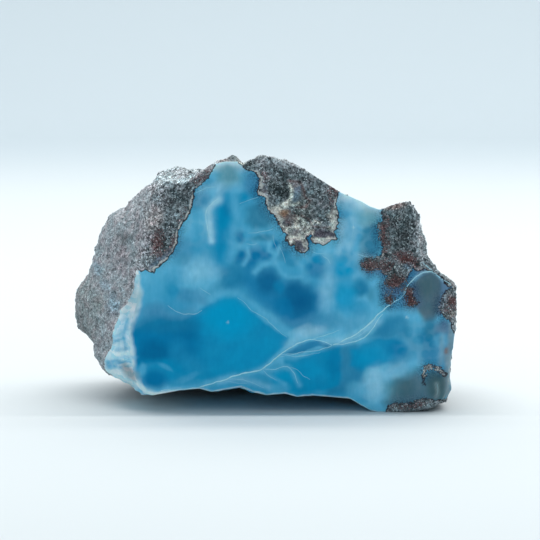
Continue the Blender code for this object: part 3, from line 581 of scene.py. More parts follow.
rockPaint = {
    "behind": ((136, 136, 140), (92, 104, 108)),  # the two tones that mingle on the back
    "tones": {
        "coal": (60, 71, 75), "slateGrey": (108, 118, 125), "dustAndTopLight": (144, 150, 158), "mauve": (136, 134, 142),
        "weatheredTopLight": (156, 168, 177), "cream": (200, 202, 197), "rust": (92, 56, 52), "brown": (128, 106, 88), "chalcedony": (100, 118, 136),
        "sage": (100, 112, 110), "aubergine": (80, 78, 90), "iceBlue": (132, 160, 178), "pinkish": (158, 142, 140),
    },
    "ground": "slateGrey",
    "warp": ((0.6, 3, 43), (0.4, 1.3, 44)),
    "areas": [
        ("dustAndTopLight", 0.95, 6, [(-62, 72), (-30, 70), (-29, 64), (-32, 58), (-32, 52), (-34, 46), (-36, 38), (-42, 20), (-45, 5), (-62, 5)]),
        # the pale top of the left shoulder: its weathered tone, partly painted light from above
        ("weatheredTopLight", 0.9, 1.2, [(-34, 66.2), (-24, 67.4), (-18, 69.6), (-14, 72.4), (-14, 77), (-36, 77)]),
        ("coal", 0.7, 3, [(-1, 69), (3, 68), (8, 68), (8, 62.5), (2, 62.5), (-0.5, 65)]),
        ("cream", 0.45, 1.4, [(0.4, 60.6), (4, 61), (6.6, 58.4), (9.8, 58), (11.6, 54.6), (12.6, 51), (9, 47.4), (5, 50), (3, 55)]),
        ("cream", 0.6, 1.2, [(16.8, 58), (19.6, 60), (21, 57), (20.4, 53), (17.4, 53.4), (18, 55.6)]),
        ("cream", 0.8, 0.7, [(5.3, 52.6), (7, 53.4), (8.8, 53), (9.4, 50.8), (8.4, 49), (6.4, 49.2), (5, 50.4)]),
        ("aubergine", 0.95, 0.8, [(12.4, 53.4), (15, 54.2), (18, 53.4), (19.4, 52.2), (17, 51.6), (14, 51.6), (12.4, 51.4)]),
        ("aubergine", 0.7, 0.8, [(6, 53), (8.6, 54.6), (9.6, 52.6), (8.2, 51.6), (6.4, 51.8)]),
        ("aubergine", 0.95, 0.8, [(7.4, 50.6), (10.8, 51.4), (11.6, 49), (10.6, 47.2), (8.6, 47.6)]),
        ("cream", 0.95, 0.7, [(7, 57.4), (8.6, 57.6), (9.6, 55.6), (9, 53.6), (7.4, 54.4)]),
        ("cream", 0.7, 0.8, [(0.8, 59.4), (3.4, 60.4), (3.6, 58.6), (2.6, 56.6)]),
        ("cream", 0.7, 0.6, [(12.6, 51), (15, 51.6), (18.8, 51.6), (18.4, 50.2), (14.4, 49.6), (12.6, 49.6)]),
        ("chalcedony", 0.85, 0.6, [(7.4, 66), (9.6, 66.4), (10, 62.4), (8, 61.6), (7.2, 63)]),
        ("chalcedony", 0.8, 0.6, [(-31, 43.8), (-29, 45.8), (-27.6, 47.6), (-28.6, 48.6), (-30.4, 46.6), (-34, 43.8), (-34.4, 42.4)]),
    ],
    "spots": [
        ("sage", 0.35, -55, 26, 6, 12, 0), ("coal", 0.3, -56, 20, 3.5, 5, 20), ("coal", 0.5, -45, 33, 1.6, 1.2, 0),
        ("iceBlue", 0.6, -51, 40, 2, 2, 0), ("iceBlue", 0.6, -45.5, 30.5, 2, 3.5, 0), ("iceBlue", 0.5, -48, 35.5, 2, 2, 0),
        ("coal", 0.75, 4, 64.6, 2.4, 2, 0), ("coal", 0.7, -5.4, 72.6, 2.4, 1.6, 0), ("coal", 0.6, 4.6, 68.4, 1.8, 1, 0),
        ("mauve", 0.7, -1, 69, 1.6, 2, 0), ("mauve", 0.6, -1, 65.6, 1.4, 1.6, 0), ("mauve", 0.6, 8, 67.4, 2, 1.4, 0),
        ("brown", 0.95, 4.6, 58.8, 2, 1.3, 0), ("aubergine", 0.6, 6.6, 56.8, 1.8, 2, 0), ("aubergine", 0.8, 5, 55.8, 1.6, 1.6, 0), ("rust", 0.4, 5, 57.6, 1.6, 0.5, 0), ("coal", 0.5, 15, 59.4, 4.4, 3.4, 0), ("cream", 0.6, 2.4, 60, 1.4, 0.8, 0),
        ("cream", 0.7, 5, 61, 0.9, 0.7, 30), ("cream", 0.6, 6.8, 64, 0.5, 2, 0), ("chalcedony", 0.6, -0.6, 65.8, 0.8, 0.8, 0),
        ("coal", 0.7, 38, 54, 5, 7, 0), ("dustAndTopLight", 0.7, 43.6, 52, 1.6, 6, 0), ("dustAndTopLight", 0.6, 44.6, 46, 1.6, 4, 30),
        ("coal", 0.9, 43.2, 43.6, 1, 1, 0), ("pinkish", 0.6, 37, 60.6, 5, 1, 8), ("rust", 0.6, 39.6, 45, 2.4, 1.4, 0),
        ("coal", 0.8, 36, 42, 2, 2.4, 0), ("chalcedony", 0.7, 40.6, 43, 1.8, 1.2, 0), ("chalcedony", 0.6, 50, 33, 1.5, 3, 0),
        ("coal", 0.6, -21, 58, 3, 6, -20), ("coal", 0.5, -27, 63, 4, 3, 0), ("rust", 0.6, -32.4, 50, 1.4, 3.4, -15),
        # the pale band along the tongue's top crest at x 5, z 73 is partly painted light from above
        ("mauve", 0.6, -36, 50, 3, 5, 0), ("dustAndTopLight", 0.6, 5, 73, 12, 1.6, 0), ("sage", 0.5, 10, 60, 3, 5, 0),
        ("cream", 0.8, -8, 72.9, 1.1, 0.9, 0), ("rust", 0.5, -17.6, 71.2, 1.4, 0.5, 15), ("pinkish", 0.5, -14, 73.4, 3, 0.6, 0),
        ("cream", 0.6, 45.4, 10.6, 0.5, 1.8, 0), ("rust", 0.6, 50.6, 13.2, 1.6, 0.4, -12), ("coal", 0.6, 48, 12.4, 1.6, 0.6, 0),
        ("cream", 0.5, 53.6, 29, 1, 1.2, 0), ("rust", 0.6, 53, 33, 1.4, 1.4, 0), ("coal", 0.7, 51.4, 28.8, 1.2, 0.8, 0),
        ("coal", 0.7, 41, 34, 3.4, 4, 0), ("coal", 0.6, 35.2, 33, 2, 2, 0), ("coal", 0.7, 30.4, 43.4, 4.4, 2.4, 0),
        ("coal", 0.7, 37, 38, 4, 2.6, 0), ("rust", 0.4, 41, 33, 1.6, 2.4, 0), ("rust", 0.4, 30, 43, 2, 1.4, 0),
        ("coal", 0.6, -30.6, 49.4, 1.2, 3.4, -15), ("pinkish", 0.4, -33, 57, 3, 5, -20), ("coal", 0.45, -42, 50, 3, 2, 30),
        ("mauve", 0.5, -44, 44, 4, 6, 20), ("sage", 0.4, -50, 30, 2, 3, 0), ("coal", 0.3, -47.6, 28, 1.4, 1.6, 0),
    ],
    "lines": [
        ("rust", 0.5, 0.5, [(33.4, 58), (33, 55), (33.4, 50), (33.6, 47)]), ("rust", 0.4, 0.7, [(37, 47), (41, 44.6), (44.4, 41.8)]),
        ("rust", 0.45, 0.5, [(-27, 52), (-27.6, 49.4), (-29.6, 47)]), ("rust", 0.5, 0.5, [(19, 66), (20.4, 63), (20.8, 58)]),
        ("cream", 0.7, 0.4, [(9, 52.4), (10, 51), (10.6, 49)]), ("cream", 0.95, 0.45, [(3.5, 61), (5.6, 61.8), (6.9, 63.4), (7, 65.2), (6.4, 66.6)]),
        ("cream", 0.8, 0.4, [(4.4, 61.2), (7, 61), (9, 61.6)]), ("coal", 0.6, 0.35, [(7, 58.6), (8.6, 58.4), (9.6, 57.6)]),
        ("rust", 0.6, 0.4, [(5.8, 68), (9.3, 67.6), (10.4, 65), (10.6, 63.4), (12, 62.2), (11, 60.4), (8, 60.2)]),
        ("dustAndTopLight", 0.9, 0.3, [(12.6, 59.6), (14.2, 61), (15.8, 62)]), ("dustAndTopLight", 0.8, 0.3, [(13.9, 58.8), (15.4, 60), (17, 60.8)]),
        ("cream", 0.7, 0.35, [(6.6, 54.6), (5, 53.8), (3.8, 55), (3.4, 57)]), ("cream", 0.7, 0.4, [(10.2, 56), (12, 54.6), (13.4, 56.4), (15, 55.6)]),
        ("rust", 0.5, 0.35, [(9.6, 57.8), (11.6, 57), (13, 54.8), (16, 54.4), (18, 54.4)]), ("cream", 0.8, 0.35, [(11, 52.6), (13, 53.6), (12.6, 51.4)]),
    ],
}

# Amounts of a finish, as spots: amount, x, z, half width, half height, degrees turned.
finishSpots = {
    # width of the cream rim in millimetres
    "creamWidth": [
        (0.7, -2, 66, 4, 9, 0), (0.9, 2.6, 57, 3.4, 7, 35), (0.38, 9, 49.4, 7, 3.4, 0), (0.65, 17, 51, 4.4, 2.4, 0),
        (1.0, 20.4, 57.6, 2, 6, 0), (0.45, -24, 57, 6, 13, -30), (0.6, -31, 44, 5, 3, 30), (0.4, 33, 46, 1.6, 1.6, 0),
        (0.35, 48, 12.6, 4, 2, 0),
    ],
    # iron-red granules
    "rust": [
        (0.7, 31, 43.4, 6, 2.6, 0), (0.75, 36.6, 38, 5, 3, 0), (0.35, 33.4, 52, 2, 9, 0), (0.5, 40, 45.6, 5, 2.6, -10),
        (0.75, 41.4, 34, 4, 5, 0), (0.7, 35.2, 33.4, 2.4, 2.4, 0), (0.45, 53, 31, 3, 4, 0), (0.45, -32, 50, 3, 5, -10),
        (0.4, -19, 69.6, 4, 2.6, 30), (0.4, 19.4, 62, 2.4, 8, 15), (0.75, 49.6, 12.8, 4, 1.6, 0), (0.45, 41, 2.6, 7, 1.6, 0),
        (0.35, -25, 54, 2.4, 9, -20), (0.3, 6, 57, 4, 3, 0), (0.6, 53.4, 18, 0.8, 1, 0), (0.45, -1.4, 69.4, 1.6, 2, 0),
    ],
    # where the basalt holds smooth minerals instead of grains
    "smooth": [
        (0.8, 4.4, 58, 3.4, 3.6, 0), (0.9, 8.4, 64, 2.4, 3, 0), (0.8, 8, 51, 5, 4, 0), (0.9, 15.8, 52, 4.6, 2, 0),
        (0.6, 19.4, 57, 2, 5, 0), (0.5, 2, 60, 3, 2, 0), (0.6, 5, 61.4, 4, 1.2, 0), (0.6, 15, 60.6, 3, 1.6, 35),
        (0.8, -31, 44.6, 5, 1.8, 40),
    ],
    # the soft pale web between small cells
    "net": [(0.5, -2, 50, 11, 7, 0), (0.6, 14, 45, 8, 5, 0), (0.9, 25, 50, 6, 12, 0), (0.7, -20, 58, 5, 12, 0), (0.7, 46, 20, 9, 9, 0)],
    # how broken up the edge of the basalt is
    "ragged": [
        (0.25, 0, 62, 26, 16, 0), (1.6, 30, 43.5, 6, 4, 0), (1.7, 37, 36, 6, 6, 0), (1.5, 41, 34, 4, 5, 0), (0.8, 32, 52, 2.4, 8, 0),
        (0.7, 51, 31, 4, 6, 0), (0.5, 42, 3, 10, 2.6, 0), (0.75, 48, 12, 5, 3, 0),
    ],
    # dark haze in the blue along the basalt
    "fringe": [
        (1, 0, 62, 6, 14, 20), (1, 8, 49, 8, 4, 0), (0.6, 20, 56, 4, 9, 0), (0.7, -28, 50, 5, 9, -30), (0.9, 31, 48, 5, 14, 0),
        (1.2, 37, 37, 10, 9, 0), (0.4, -20, 64, 5, 6, 0), (0.9, 49, 30, 4, 8, 0), (0.8, 47, 12, 5, 4, 0), (0.5, 40, 4, 8, 3, 0),
    ],
}


def warpedPlaces(points, warp):
    # x and z shifted by noise, so that soft shapes get natural edges
    x, z = points[:, 0].copy(), points[:, 2].copy()
    for height, width, seed in warp:
        x += latticeNoise(points, height, width, seed)
        z += latticeNoise(points, height, width, seed + 50)
    return x, z


def spotCover(x, z, spotX, spotZ, halfWidth, halfHeight, degrees):
    # 1 in the middle of a turned oval and 0 past its edge, falling off as a smooth S
    turn = math.radians(degrees)
    across = ((x - spotX) * math.cos(turn) + (z - spotZ) * math.sin(turn)) / halfWidth
    up = ((z - spotZ) * math.cos(turn) - (x - spotX) * math.sin(turn)) / halfHeight
    return fadeBetween(-np.hypot(across, up), -1.25, -0.35)


def paintedColours(points, paint):
    # each stroke in turn takes the colour towards its tone by its cover
    tones = {name: seenTone(*tone) for name, tone in paint["tones"].items()}
    x, z = warpedPlaces(points, paint["warp"])
    colours = np.tile(tones[paint["ground"]], (len(points), 1))
    covers = [
        (tone, amount * fadeBetween(insidePatch(outline, x, z), -soft / 2, soft / 2))
        for tone, amount, soft, outline in paint["areas"]
    ]
    covers += [(tone, amount * spotCover(x, z, *spot)) for tone, amount, *spot in paint["spots"]]
    plainX, plainZ = points[:, 0], points[:, 2]
    for tone, amount, halfWidth, route in paint["lines"]:
        route = faceLines.get(route) if isinstance(route, str) else route
        nearest = lineDistance(route, plainX, plainZ)[0]
        covers.append((tone, amount * np.exp(-((nearest / halfWidth) ** 2))))
    for tone, cover in covers:
        colours += cover[:, None] * (tones[tone] - colours)
    return colours


def spotAmounts(points, name):
    x, z = warpedPlaces(points, bluePaint["warp"])
    amounts = [amount * spotCover(x, z, *spot) for amount, *spot in finishSpots[name]]
    return np.max(amounts, axis=0)


def addNode(tree, kind, inputs=None, **settings):
    made = tree.nodes.new("ShaderNode" + kind)
    for name, value in settings.items():
        setattr(made, name, value)
    for name, value in (inputs or {}).items():
        if isinstance(value, bpy.types.NodeSocket):
            tree.links.new(value, made.inputs[name])
        else:
            made.inputs[name].default_value = value
    return made


def mathNode(tree, operation, first, second=0.0, third=0.0):
    return addNode(tree, "Math", {0: first, 1: second, 2: third}, operation=operation).outputs[0]


def fadeNode(tree, value, low, high, outLow=0.0, outHigh=1.0):
    inputs = {"Value": value, "From Min": low, "From Max": high, "To Min": outLow, "To Max": outHigh}
    return addNode(tree, "MapRange", inputs, interpolation_type="SMOOTHSTEP").outputs[0]


def mixNode(tree, share, first, second, mode="MIX"):
    node = addNode(tree, "Mix", {0: share, 6: first, 7: second}, data_type="RGBA", blend_type=mode)
    return node.outputs[2]


def rampNode(tree, value, stops):
    node = addNode(tree, "ValToRGB", {0: value})
    elements = node.color_ramp.elements
    while len(elements) < len(stops):
        elements.new(0.5)
    for element, (place, colour) in zip(elements, stops):
        element.position = place
        element.color = (*colour, 1) if len(colour) == 3 else colour
    return node.outputs[0]


def noiseNode(tree, coordinates, perMillimetre, detail=3.0, roughness=0.55, distortion=0.0):
    inputs = {"Vector": coordinates, "Scale": perMillimetre, "Detail": detail, "Roughness": roughness}
    return addNode(tree, "TexNoise", {**inputs, "Distortion": distortion}).outputs[0]


def attributeNode(tree, name, colour=False):
    return addNode(tree, "Attribute", attribute_name=name).outputs["Color" if colour else "Fac"]


def newMaterial(name):
    material = bpy.data.materials.new(name)
    material.use_nodes = True
    return material, material.node_tree, material.node_tree.nodes["Principled BSDF"]


def millimetres(tree, stretch=(1, 1, 1)):
    place = addNode(tree, "TexCoord").outputs["Object"]
    return addNode(tree, "Mapping", {"Vector": place, "Scale": [share / mm for share in stretch]}).outputs[0]


stoneFinish = {
    "groundRoughness": 0.30, "brokenRoughness": 0.62, "basaltRoughness": 0.85,
    "specular": 0.03, "translucency": 0.22, "bumpDepth": 0.5,
    "rimLine": (0.030, 0.014, 0.020), "rimCream": (0.68, 0.68, 0.65), "rust": (0.090, 0.036, 0.038),
    "haze": (0.020, 0.055, 0.12), "web": (0.36, 0.66, 0.80), "lath": (0.62, 0.68, 0.70), "clot": (0.030, 0.038, 0.040),
}


def crystalNodes(tree, place, stretch, degrees, perMillimetre, size, share):
    # long crystals: a share of the cells of a stretched and turned pattern, filled out to a size
    turned = addNode(tree, "Mapping", {"Vector": place, "Rotation": (0, math.radians(degrees), 0), "Scale": stretch}).outputs[0]
    cells = addNode(tree, "TexVoronoi", {"Vector": turned, "Scale": perMillimetre})
    chosen = addNode(tree, "SeparateColor", {0: cells.outputs["Color"]}).outputs[0]
    chosen = fadeNode(tree, chosen, 1 - share - 0.02, 1 - share + 0.02)
    return mathNode(tree, "MULTIPLY", chosen, fadeNode(tree, cells.outputs["Distance"], size, 0.6 * size))


def basaltNodes(tree, place, coarse, medium, fine):
    # painted grey times the shade of each crystal, with dark clots, pale laths and iron-red granules
    contrast = attributeNode(tree, "contrast")
    warp = addNode(tree, "TexNoise", {"Vector": place, "Scale": 0.9, "Detail": 2.0}).outputs["Color"]
    bent = addNode(tree, "VectorMath", {0: warp, 1: (1.6, 1.6, 1.6), 2: place}, operation="MULTIPLY_ADD").outputs[0]
    crystals = addNode(tree, "TexVoronoi", {"Vector": bent, "Scale": 1.6})
    grain = addNode(tree, "SeparateColor", {0: crystals.outputs["Color"]}).outputs[0]
    shade = rampNode(tree, grain, [(0.0, (0.26,) * 3), (0.3, (0.62,) * 3), (0.6, (0.98,) * 3), (0.85, (1.55,) * 3), (1.0, (2.5,) * 3)])
    rock = attributeNode(tree, "rockTone", colour=True)
    hue = rampNode(tree, coarse, [(0.36, (0.93, 1.02, 1.03)), (0.5, (0.98, 0.98, 0.98)), (0.64, (1.10, 0.98, 0.98))])
    rock = mixNode(tree, 1.0, rock, hue, "MULTIPLY")
    patches = rampNode(tree, medium, [(0.34, (0.68, 0.70, 0.71)), (0.5, (1.0,) * 3), (0.66, (1.32, 1.30, 1.30))])
    rock = mixNode(tree, 1.0, rock, patches, "MULTIPLY")
    rock = mixNode(tree, contrast, rock, mixNode(tree, 1.0, rock, shade, "MULTIPLY"))
    rock = mixNode(tree, 1.0, rock, rampNode(tree, fine, [(0.3, (0.50,) * 3), (0.5, (0.97,) * 3), (0.7, (1.7,) * 3)]), "MULTIPLY")
    clots = mathNode(tree, "MULTIPLY", fadeNode(tree, medium, 0.44, 0.36), mathNode(tree, "MULTIPLY", contrast, 0.75))
    rock = mixNode(tree, clots, rock, (*stoneFinish["clot"], 1))
    laths = mathNode(
        tree, "MAXIMUM", crystalNodes(tree, bent, (1, 1, 0.28), 35, 1.5, 0.36, 0.30),
        crystalNodes(tree, bent, (1, 1, 0.3), -50, 1.3, 0.34, 0.28),
    )
    where = mathNode(tree, "MULTIPLY", fadeNode(tree, medium, 0.40, 0.55, 0.15, 0.75), mathNode(tree, "MULTIPLY_ADD", contrast, 0.9, 0.05))
    pale = mixNode(tree, 0.55, rock, (*stoneFinish["lath"], 1))
    rock = mixNode(tree, mathNode(tree, "MULTIPLY", laths, where), rock, pale)
    redSpread = mathNode(tree, "ADD", mathNode(tree, "MULTIPLY_ADD", grain, 0.35, mathNode(tree, "MULTIPLY", medium, 0.65)),
                         mathNode(tree, "MULTIPLY", attributeNode(tree, "rust"), 0.30))
    rock = mixNode(tree, mathNode(tree, "MULTIPLY", fadeNode(tree, redSpread, 0.66, 0.76), 0.7), rock, (*stoneFinish["rust"], 1))
    height = mathNode(tree, "MULTIPLY_ADD", fine, 0.7, mathNode(tree, "MULTIPLY_ADD", grain, 0.35, mathNode(tree, "MULTIPLY", laths, 0.3)))
    height = mathNode(tree, "SUBTRACT", height, mathNode(tree, "MULTIPLY", crystals.outputs["Distance"], 0.5))
    return rock, height


def pectoliteNodes(tree, place, coarse, broken):
    # painted clouds, faint upright fibres and a web of pale seams; chalkier where broken, not ground
    blue = attributeNode(tree, "blueTone", colour=True)
    fibre = noiseNode(tree, millimetres(tree, (1.2, 0.6, 0.36)), 1.0, 4.0, 0.6)
    blue = mixNode(tree, 1.0, blue, rampNode(tree, fibre, [(0.3, (0.90, 0.96, 0.975)), (0.7, (1.12, 1.03, 1.02))]), "MULTIPLY")
    blue = mixNode(tree, 1.0, blue, rampNode(tree, coarse, [(0.3, (0.88, 0.95, 0.965)), (0.7, (1.12, 1.05, 1.03))]), "MULTIPLY")
    cells = addNode(tree, "TexVoronoi", {"Vector": place, "Scale": 0.42, "Smoothness": 0.6}, feature="SMOOTH_F1")
    thread = fadeNode(tree, cells.outputs["Distance"], 0.35, 0.75)
    thread = mathNode(tree, "MULTIPLY", thread, mathNode(tree, "MULTIPLY", attributeNode(tree, "net"), 0.3))
    blue = mixNode(tree, thread, blue, (*stoneFinish["web"], 1))
    chips = addNode(tree, "TexVoronoi", {"Vector": millimetres(tree, (0.7, 0.7, 1.6)), "Scale": 0.5}, distance="CHEBYCHEV")
    flake = addNode(tree, "SeparateColor", {0: chips.outputs["Color"]}).outputs[0]
    chalk = rampNode(tree, flake, [(0.0, (0.72, 0.92, 0.97)), (0.5, (1.0, 1.0, 1.0)), (1.0, (1.3, 1.08, 1.04))])
    blue = mixNode(tree, broken, blue, mixNode(tree, 1.0, blue, chalk, "MULTIPLY"))
    height = mathNode(tree, "MULTIPLY", fibre, 0.03)
    height = mathNode(tree, "MULTIPLY_ADD", broken, mathNode(tree, "MULTIPLY_ADD", fibre, 0.5, mathNode(tree, "MULTIPLY", flake, 0.5)), height)
    return blue, height


def stoneMaterial():
    finish = stoneFinish
    material, tree, surface = newMaterial("larimarAndBasalt")
    place = millimetres(tree)
    coarse = noiseNode(tree, place, 0.30)
    medium = noiseNode(tree, place, 0.75, 4.0, 0.6)
    fine = noiseNode(tree, place, 2.2, 3.0, 0.65)
    broken = attributeNode(tree, "broken")
    rock, rockHeight = basaltNodes(tree, place, coarse, medium, fine)
    blue, blueHeight = pectoliteNodes(tree, place, coarse, broken)

    # the boundary: dark haze in the blue, a thin dark line, then a cream rim of varying width
    ragged = mathNode(tree, "MULTIPLY", mathNode(tree, "SUBTRACT", fine, 0.5), attributeNode(tree, "ragged"))
    depth = mathNode(tree, "ADD", attributeNode(tree, "rock"), mathNode(tree, "MULTIPLY_ADD", medium, 1.2, -0.6))
    depth = mathNode(tree, "MULTIPLY_ADD", ragged, 5.0, depth)
    haze = mathNode(tree, "MULTIPLY", fadeNode(tree, depth, -3.6, -0.1), attributeNode(tree, "fringe"))
    haze = mathNode(tree, "MULTIPLY", haze, fadeNode(tree, fine, 0.38, 0.62, 0.2, 0.9))
    blue = mixNode(tree, haze, blue, (*finish["haze"], 1))
    creamWidth = attributeNode(tree, "creamWidth")
    creamWidth = mathNode(tree, "MULTIPLY", creamWidth, fadeNode(tree, medium, 0.34, 0.64, 0.25, 1.7))
    past = mathNode(tree, "SUBTRACT", depth, mathNode(tree, "ADD", creamWidth, 0.12))
    cream = mathNode(tree, "MULTIPLY", fadeNode(tree, depth, 0.10, 0.25), fadeNode(tree, past, 0.12, -0.12))
    cream = mathNode(tree, "MULTIPLY", cream, fadeNode(tree, creamWidth, 0.1, 0.4))
    creamTone = rampNode(tree, fine, [(0.3, tuple(0.55 * v for v in finish["rimCream"])), (0.55, finish["rimCream"]), (0.7, (0.80, 0.80, 0.76))])
    rock = mixNode(tree, mathNode(tree, "MULTIPLY", cream, 0.92), rock, creamTone)
    isRock = fadeNode(tree, depth, -0.06, 0.06)
    colour = mixNode(tree, isRock, blue, rock)
    line = fadeNode(tree, mathNode(tree, "ABSOLUTE", mathNode(tree, "SUBTRACT", depth, 0.02)), 0.32, 0.08)
    line = mathNode(tree, "MULTIPLY", line, attributeNode(tree, "rimLine"))
    colour = mixNode(tree, line, colour, (*finish["rimLine"], 1))

    smoothness = mathNode(tree, "MULTIPLY_ADD", broken, finish["brokenRoughness"] - finish["groundRoughness"], finish["groundRoughness"])
    smoothness = mathNode(tree, "MULTIPLY_ADD", fine, 0.12, mathNode(tree, "SUBTRACT", smoothness, 0.06))
    roughness = addNode(tree, "Mix", {0: isRock, 2: smoothness, 3: finish["basaltRoughness"]}).outputs[0]
    height = addNode(tree, "Mix", {0: isRock, 2: blueHeight, 3: rockHeight}).outputs[0]
    bump = addNode(tree, "Bump", {"Strength": 0.8, "Distance": finish["bumpDepth"] * mm, "Height": height})
    tree.links.new(colour, surface.inputs["Base Color"])
    tree.links.new(roughness, surface.inputs["Roughness"])
    tree.links.new(bump.outputs[0], surface.inputs["Normal"])
    surface.inputs["Specular IOR Level"].default_value = finish["specular"]
    tree.links.new(mathNode(tree, "MULTIPLY_ADD", isRock, -finish["translucency"], finish["translucency"]), surface.inputs["Subsurface Weight"])
    surface.inputs["Subsurface Radius"].default_value = (0.6, 1.6, 2.4)
    surface.inputs["Subsurface Scale"].default_value = mm
    return material


def makeStone():
    angle, along, quads, triangles = stoneGrid()
    points, basalt, pastEdge = stoneSurface(angle, along)
    print("larimar: surface worked out,", len(points), "points")
    stone = newPiece("larimarStone", rowPlaces(points), quads.tolist() + triangles.tolist(), stoneMaterial())
    # what is painted by x and z reaches only so far back, further on the left
    reachBack = np.interp(points[:, 0], (-36, -24, -14, -9), (30, 22, 20, 6)) + latticeNoise(points, 6, 9, 64)
    front = fadeBetween(reachBack - points[:, 1], -6, 6)
    amounts = {}
    addNumbers(stone, "rock", basalt)
    addNumbers(stone, "broken", fadeBetween(pastEdge, 0.1, 0.9))
    addNumbers(stone, "rimLine", 0.85 * fadeBetween(-pastEdge, -1.5, -0.2))
    for name in finishSpots:
        amounts[name] = spotAmounts(points, name) * front * fadeBetween(-pastEdge, -6, -1)
        addNumbers(stone, name, amounts[name])
    contrast = 0.95 - 0.5 * np.maximum(fadeBetween(-points[:, 0], 30, 42) * fadeBetween(pastEdge, 0, 1), 1 - front)
    contrast -= 0.75 * amounts["smooth"] * contrast
    addNumbers(stone, "contrast", contrast)
    # a pale chipped line along the lower edge of the ground face, partly a painted highlight along its bevel, wider at
    # its left end
    blue = paintedColours(points, bluePaint)
    bevel = np.interp(points[:, 0], *bluePaint["bevelWidth"]) * (1 + latticeNoise(points, 0.5, 1.6, 62))
    pale = fadeBetween(pastEdge + bevel, -0.25, 0.2) * fadeBetween(-points[:, 2], -11, -8) * fadeBetween(1.5 - pastEdge, 0, 1)
    pale *= fadeBetween(-points[:, 0], -35, -33) * np.clip(0.75 + latticeNoise(points, 0.5, 2.2, 63), 0.2, 1)
    blue += 0.8 * pale[:, None] * (seenTone(*bluePaint["bevelChipAndHighlightTone"]) - blue)
    cloudy = sum(latticeNoise(points, *octave) for octave in bluePaint["mottle"])
    blue *= 1 + (cloudy * np.clip(4 * blue[:, 0], 0.25, 1))[:, None] * (1.5, 1, 0.8)
    blue *= 1 - 0.4 * (fadeBetween(pastEdge, 0.5, 2.5) * fadeBetween(points[:, 2], 50, 60))[:, None]
    addColours(stone, "blueTone", np.clip(blue, 0, 0.93))
    rock = paintedColours(points, rockPaint)
    share = np.clip(0.5 + latticeNoise(points, 0.7, 14, 61) + latticeNoise(points, 0.4, 5, 62), 0, 1)[:, None]
    behind = share * seenTone(*rockPaint["behind"][0]) + (1 - share) * seenTone(*rockPaint["behind"][1])
    rock = rock * front[:, None] + behind * (1 - front)[:, None]
    addColours(stone, "rockTone", rock)
    return [stone, *[makeGrains(name, quads, points, basalt, amounts, contrast, rock) for name in grainShape]]


def veinTube(route, halfWidth):
    # oval rings along a smoothed, slightly wandering line, closed by a point at either end; the upper half
    # of the oval stands out from the face, the lower half lies in it
    shape = veinShape
    corners = np.array(route, float)
    reach = np.concatenate([[0], np.cumsum(np.hypot(*np.diff(corners, axis=0).T))])
    along = np.linspace(0, reach[-1], max(int(reach[-1] / shape["step"]), 6) + 1)
    soft = [np.interp(along + shift, reach, column) for column in corners.T for shift in (-0.7, 0, 0.7)]
    x, z = np.mean(soft[:3], axis=0), np.mean(soft[3:], axis=0)
    middle = np.stack([x, np.zeros(len(x)), z], axis=1)
    for height, width, seed in shape["wander"]:
        middle[:, 0] += latticeNoise(middle, height, width, seed)
        middle[:, 2] += latticeNoise(middle, height, width, seed + 50)
    run = np.gradient(middle, axis=0)
    side = np.stack([-run[:, 2], run[:, 0]], axis=1) / np.hypot(run[:, 0], run[:, 2])[:, None]
    taper = np.sin(np.pi * np.linspace(0.04, 0.96, len(x))) ** 0.35
    width = halfWidth * taper * (1 + latticeNoise(middle, 0.4, 1.4, 73))
    turn = np.arange(8) * math.pi / 4
    across = width[:, None] * np.cos(turn)
    rise = np.where(np.sin(turn) > 0, shape["proud"], shape["sunk"]) * np.sin(turn)
    ringX, ringZ = middle[:, :1] + side[:, :1] * across, middle[:, 2:] + side[:, 1:] * across
    rings = np.stack([ringX, -taper[:, None] * rise + 0 * ringX, ringZ], axis=-1).reshape(-1, 3)
    points = np.vstack([rings, middle[:1] - run[:1] * 0.5, middle[-1:] + run[-1:] * 0.5])
    index = np.arange(len(rings)).reshape(-1, 8)
    index = np.hstack([index, index[:, :1]])
    start, end = len(rings), len(rings) + 1
    caps = [(start, b, a) for a, b in zip(index[0], index[0, 1:])] + [(end, a, b) for a, b in zip(index[-1], index[-1, 1:])]
    return points, gridQuads(index).tolist() + [tuple(int(v) for v in cap) for cap in caps]


def makeVeins():
    points, faces, amounts = [], [], []
    count = 0
    for amount, halfWidth, route in veinShape["lines"]:
        tube, tubeFaces = veinTube(route, halfWidth)
        points.append(tube)
        amounts.append(np.full(len(tube), amount))
        faces += [[corner + count for corner in face] for face in tubeFaces]
        count += len(tube)
    points, amounts = np.vstack(points), np.concatenate(amounts)
    flat = points * (1, 0, 1)
    points[:, 1] -= faceProud(flat, basaltDepth(flat, np.full(len(flat), -9.0)))
    material, tree, surface = newMaterial("calciteVein")
    cloud = noiseNode(tree, millimetres(tree), 0.8)
    tone = attributeNode(tree, "veinTone", colour=True)
    tone = mixNode(tree, 1.0, tone, rampNode(tree, cloud, [(0.3, (0.82, 0.93, 0.97)), (0.7, (1.12, 1.05, 1.03))]), "MULTIPLY")
    tree.links.new(tone, surface.inputs["Base Color"])
    surface.inputs["Roughness"].default_value = 0.4
    surface.inputs["Specular IOR Level"].default_value = 0.1
    veins = newPiece("calciteVeins", rowPlaces(points), faces, material)
    under = paintedColours(flat, bluePaint)
    strength = np.clip(amounts * (0.95 + latticeNoise(flat, 0.35, 3, 74)), 0.1, 1)[:, None]
    addColours(veins, "veinTone", under + strength * (seenTone(*veinShape["tone"]) - under))
    return veins


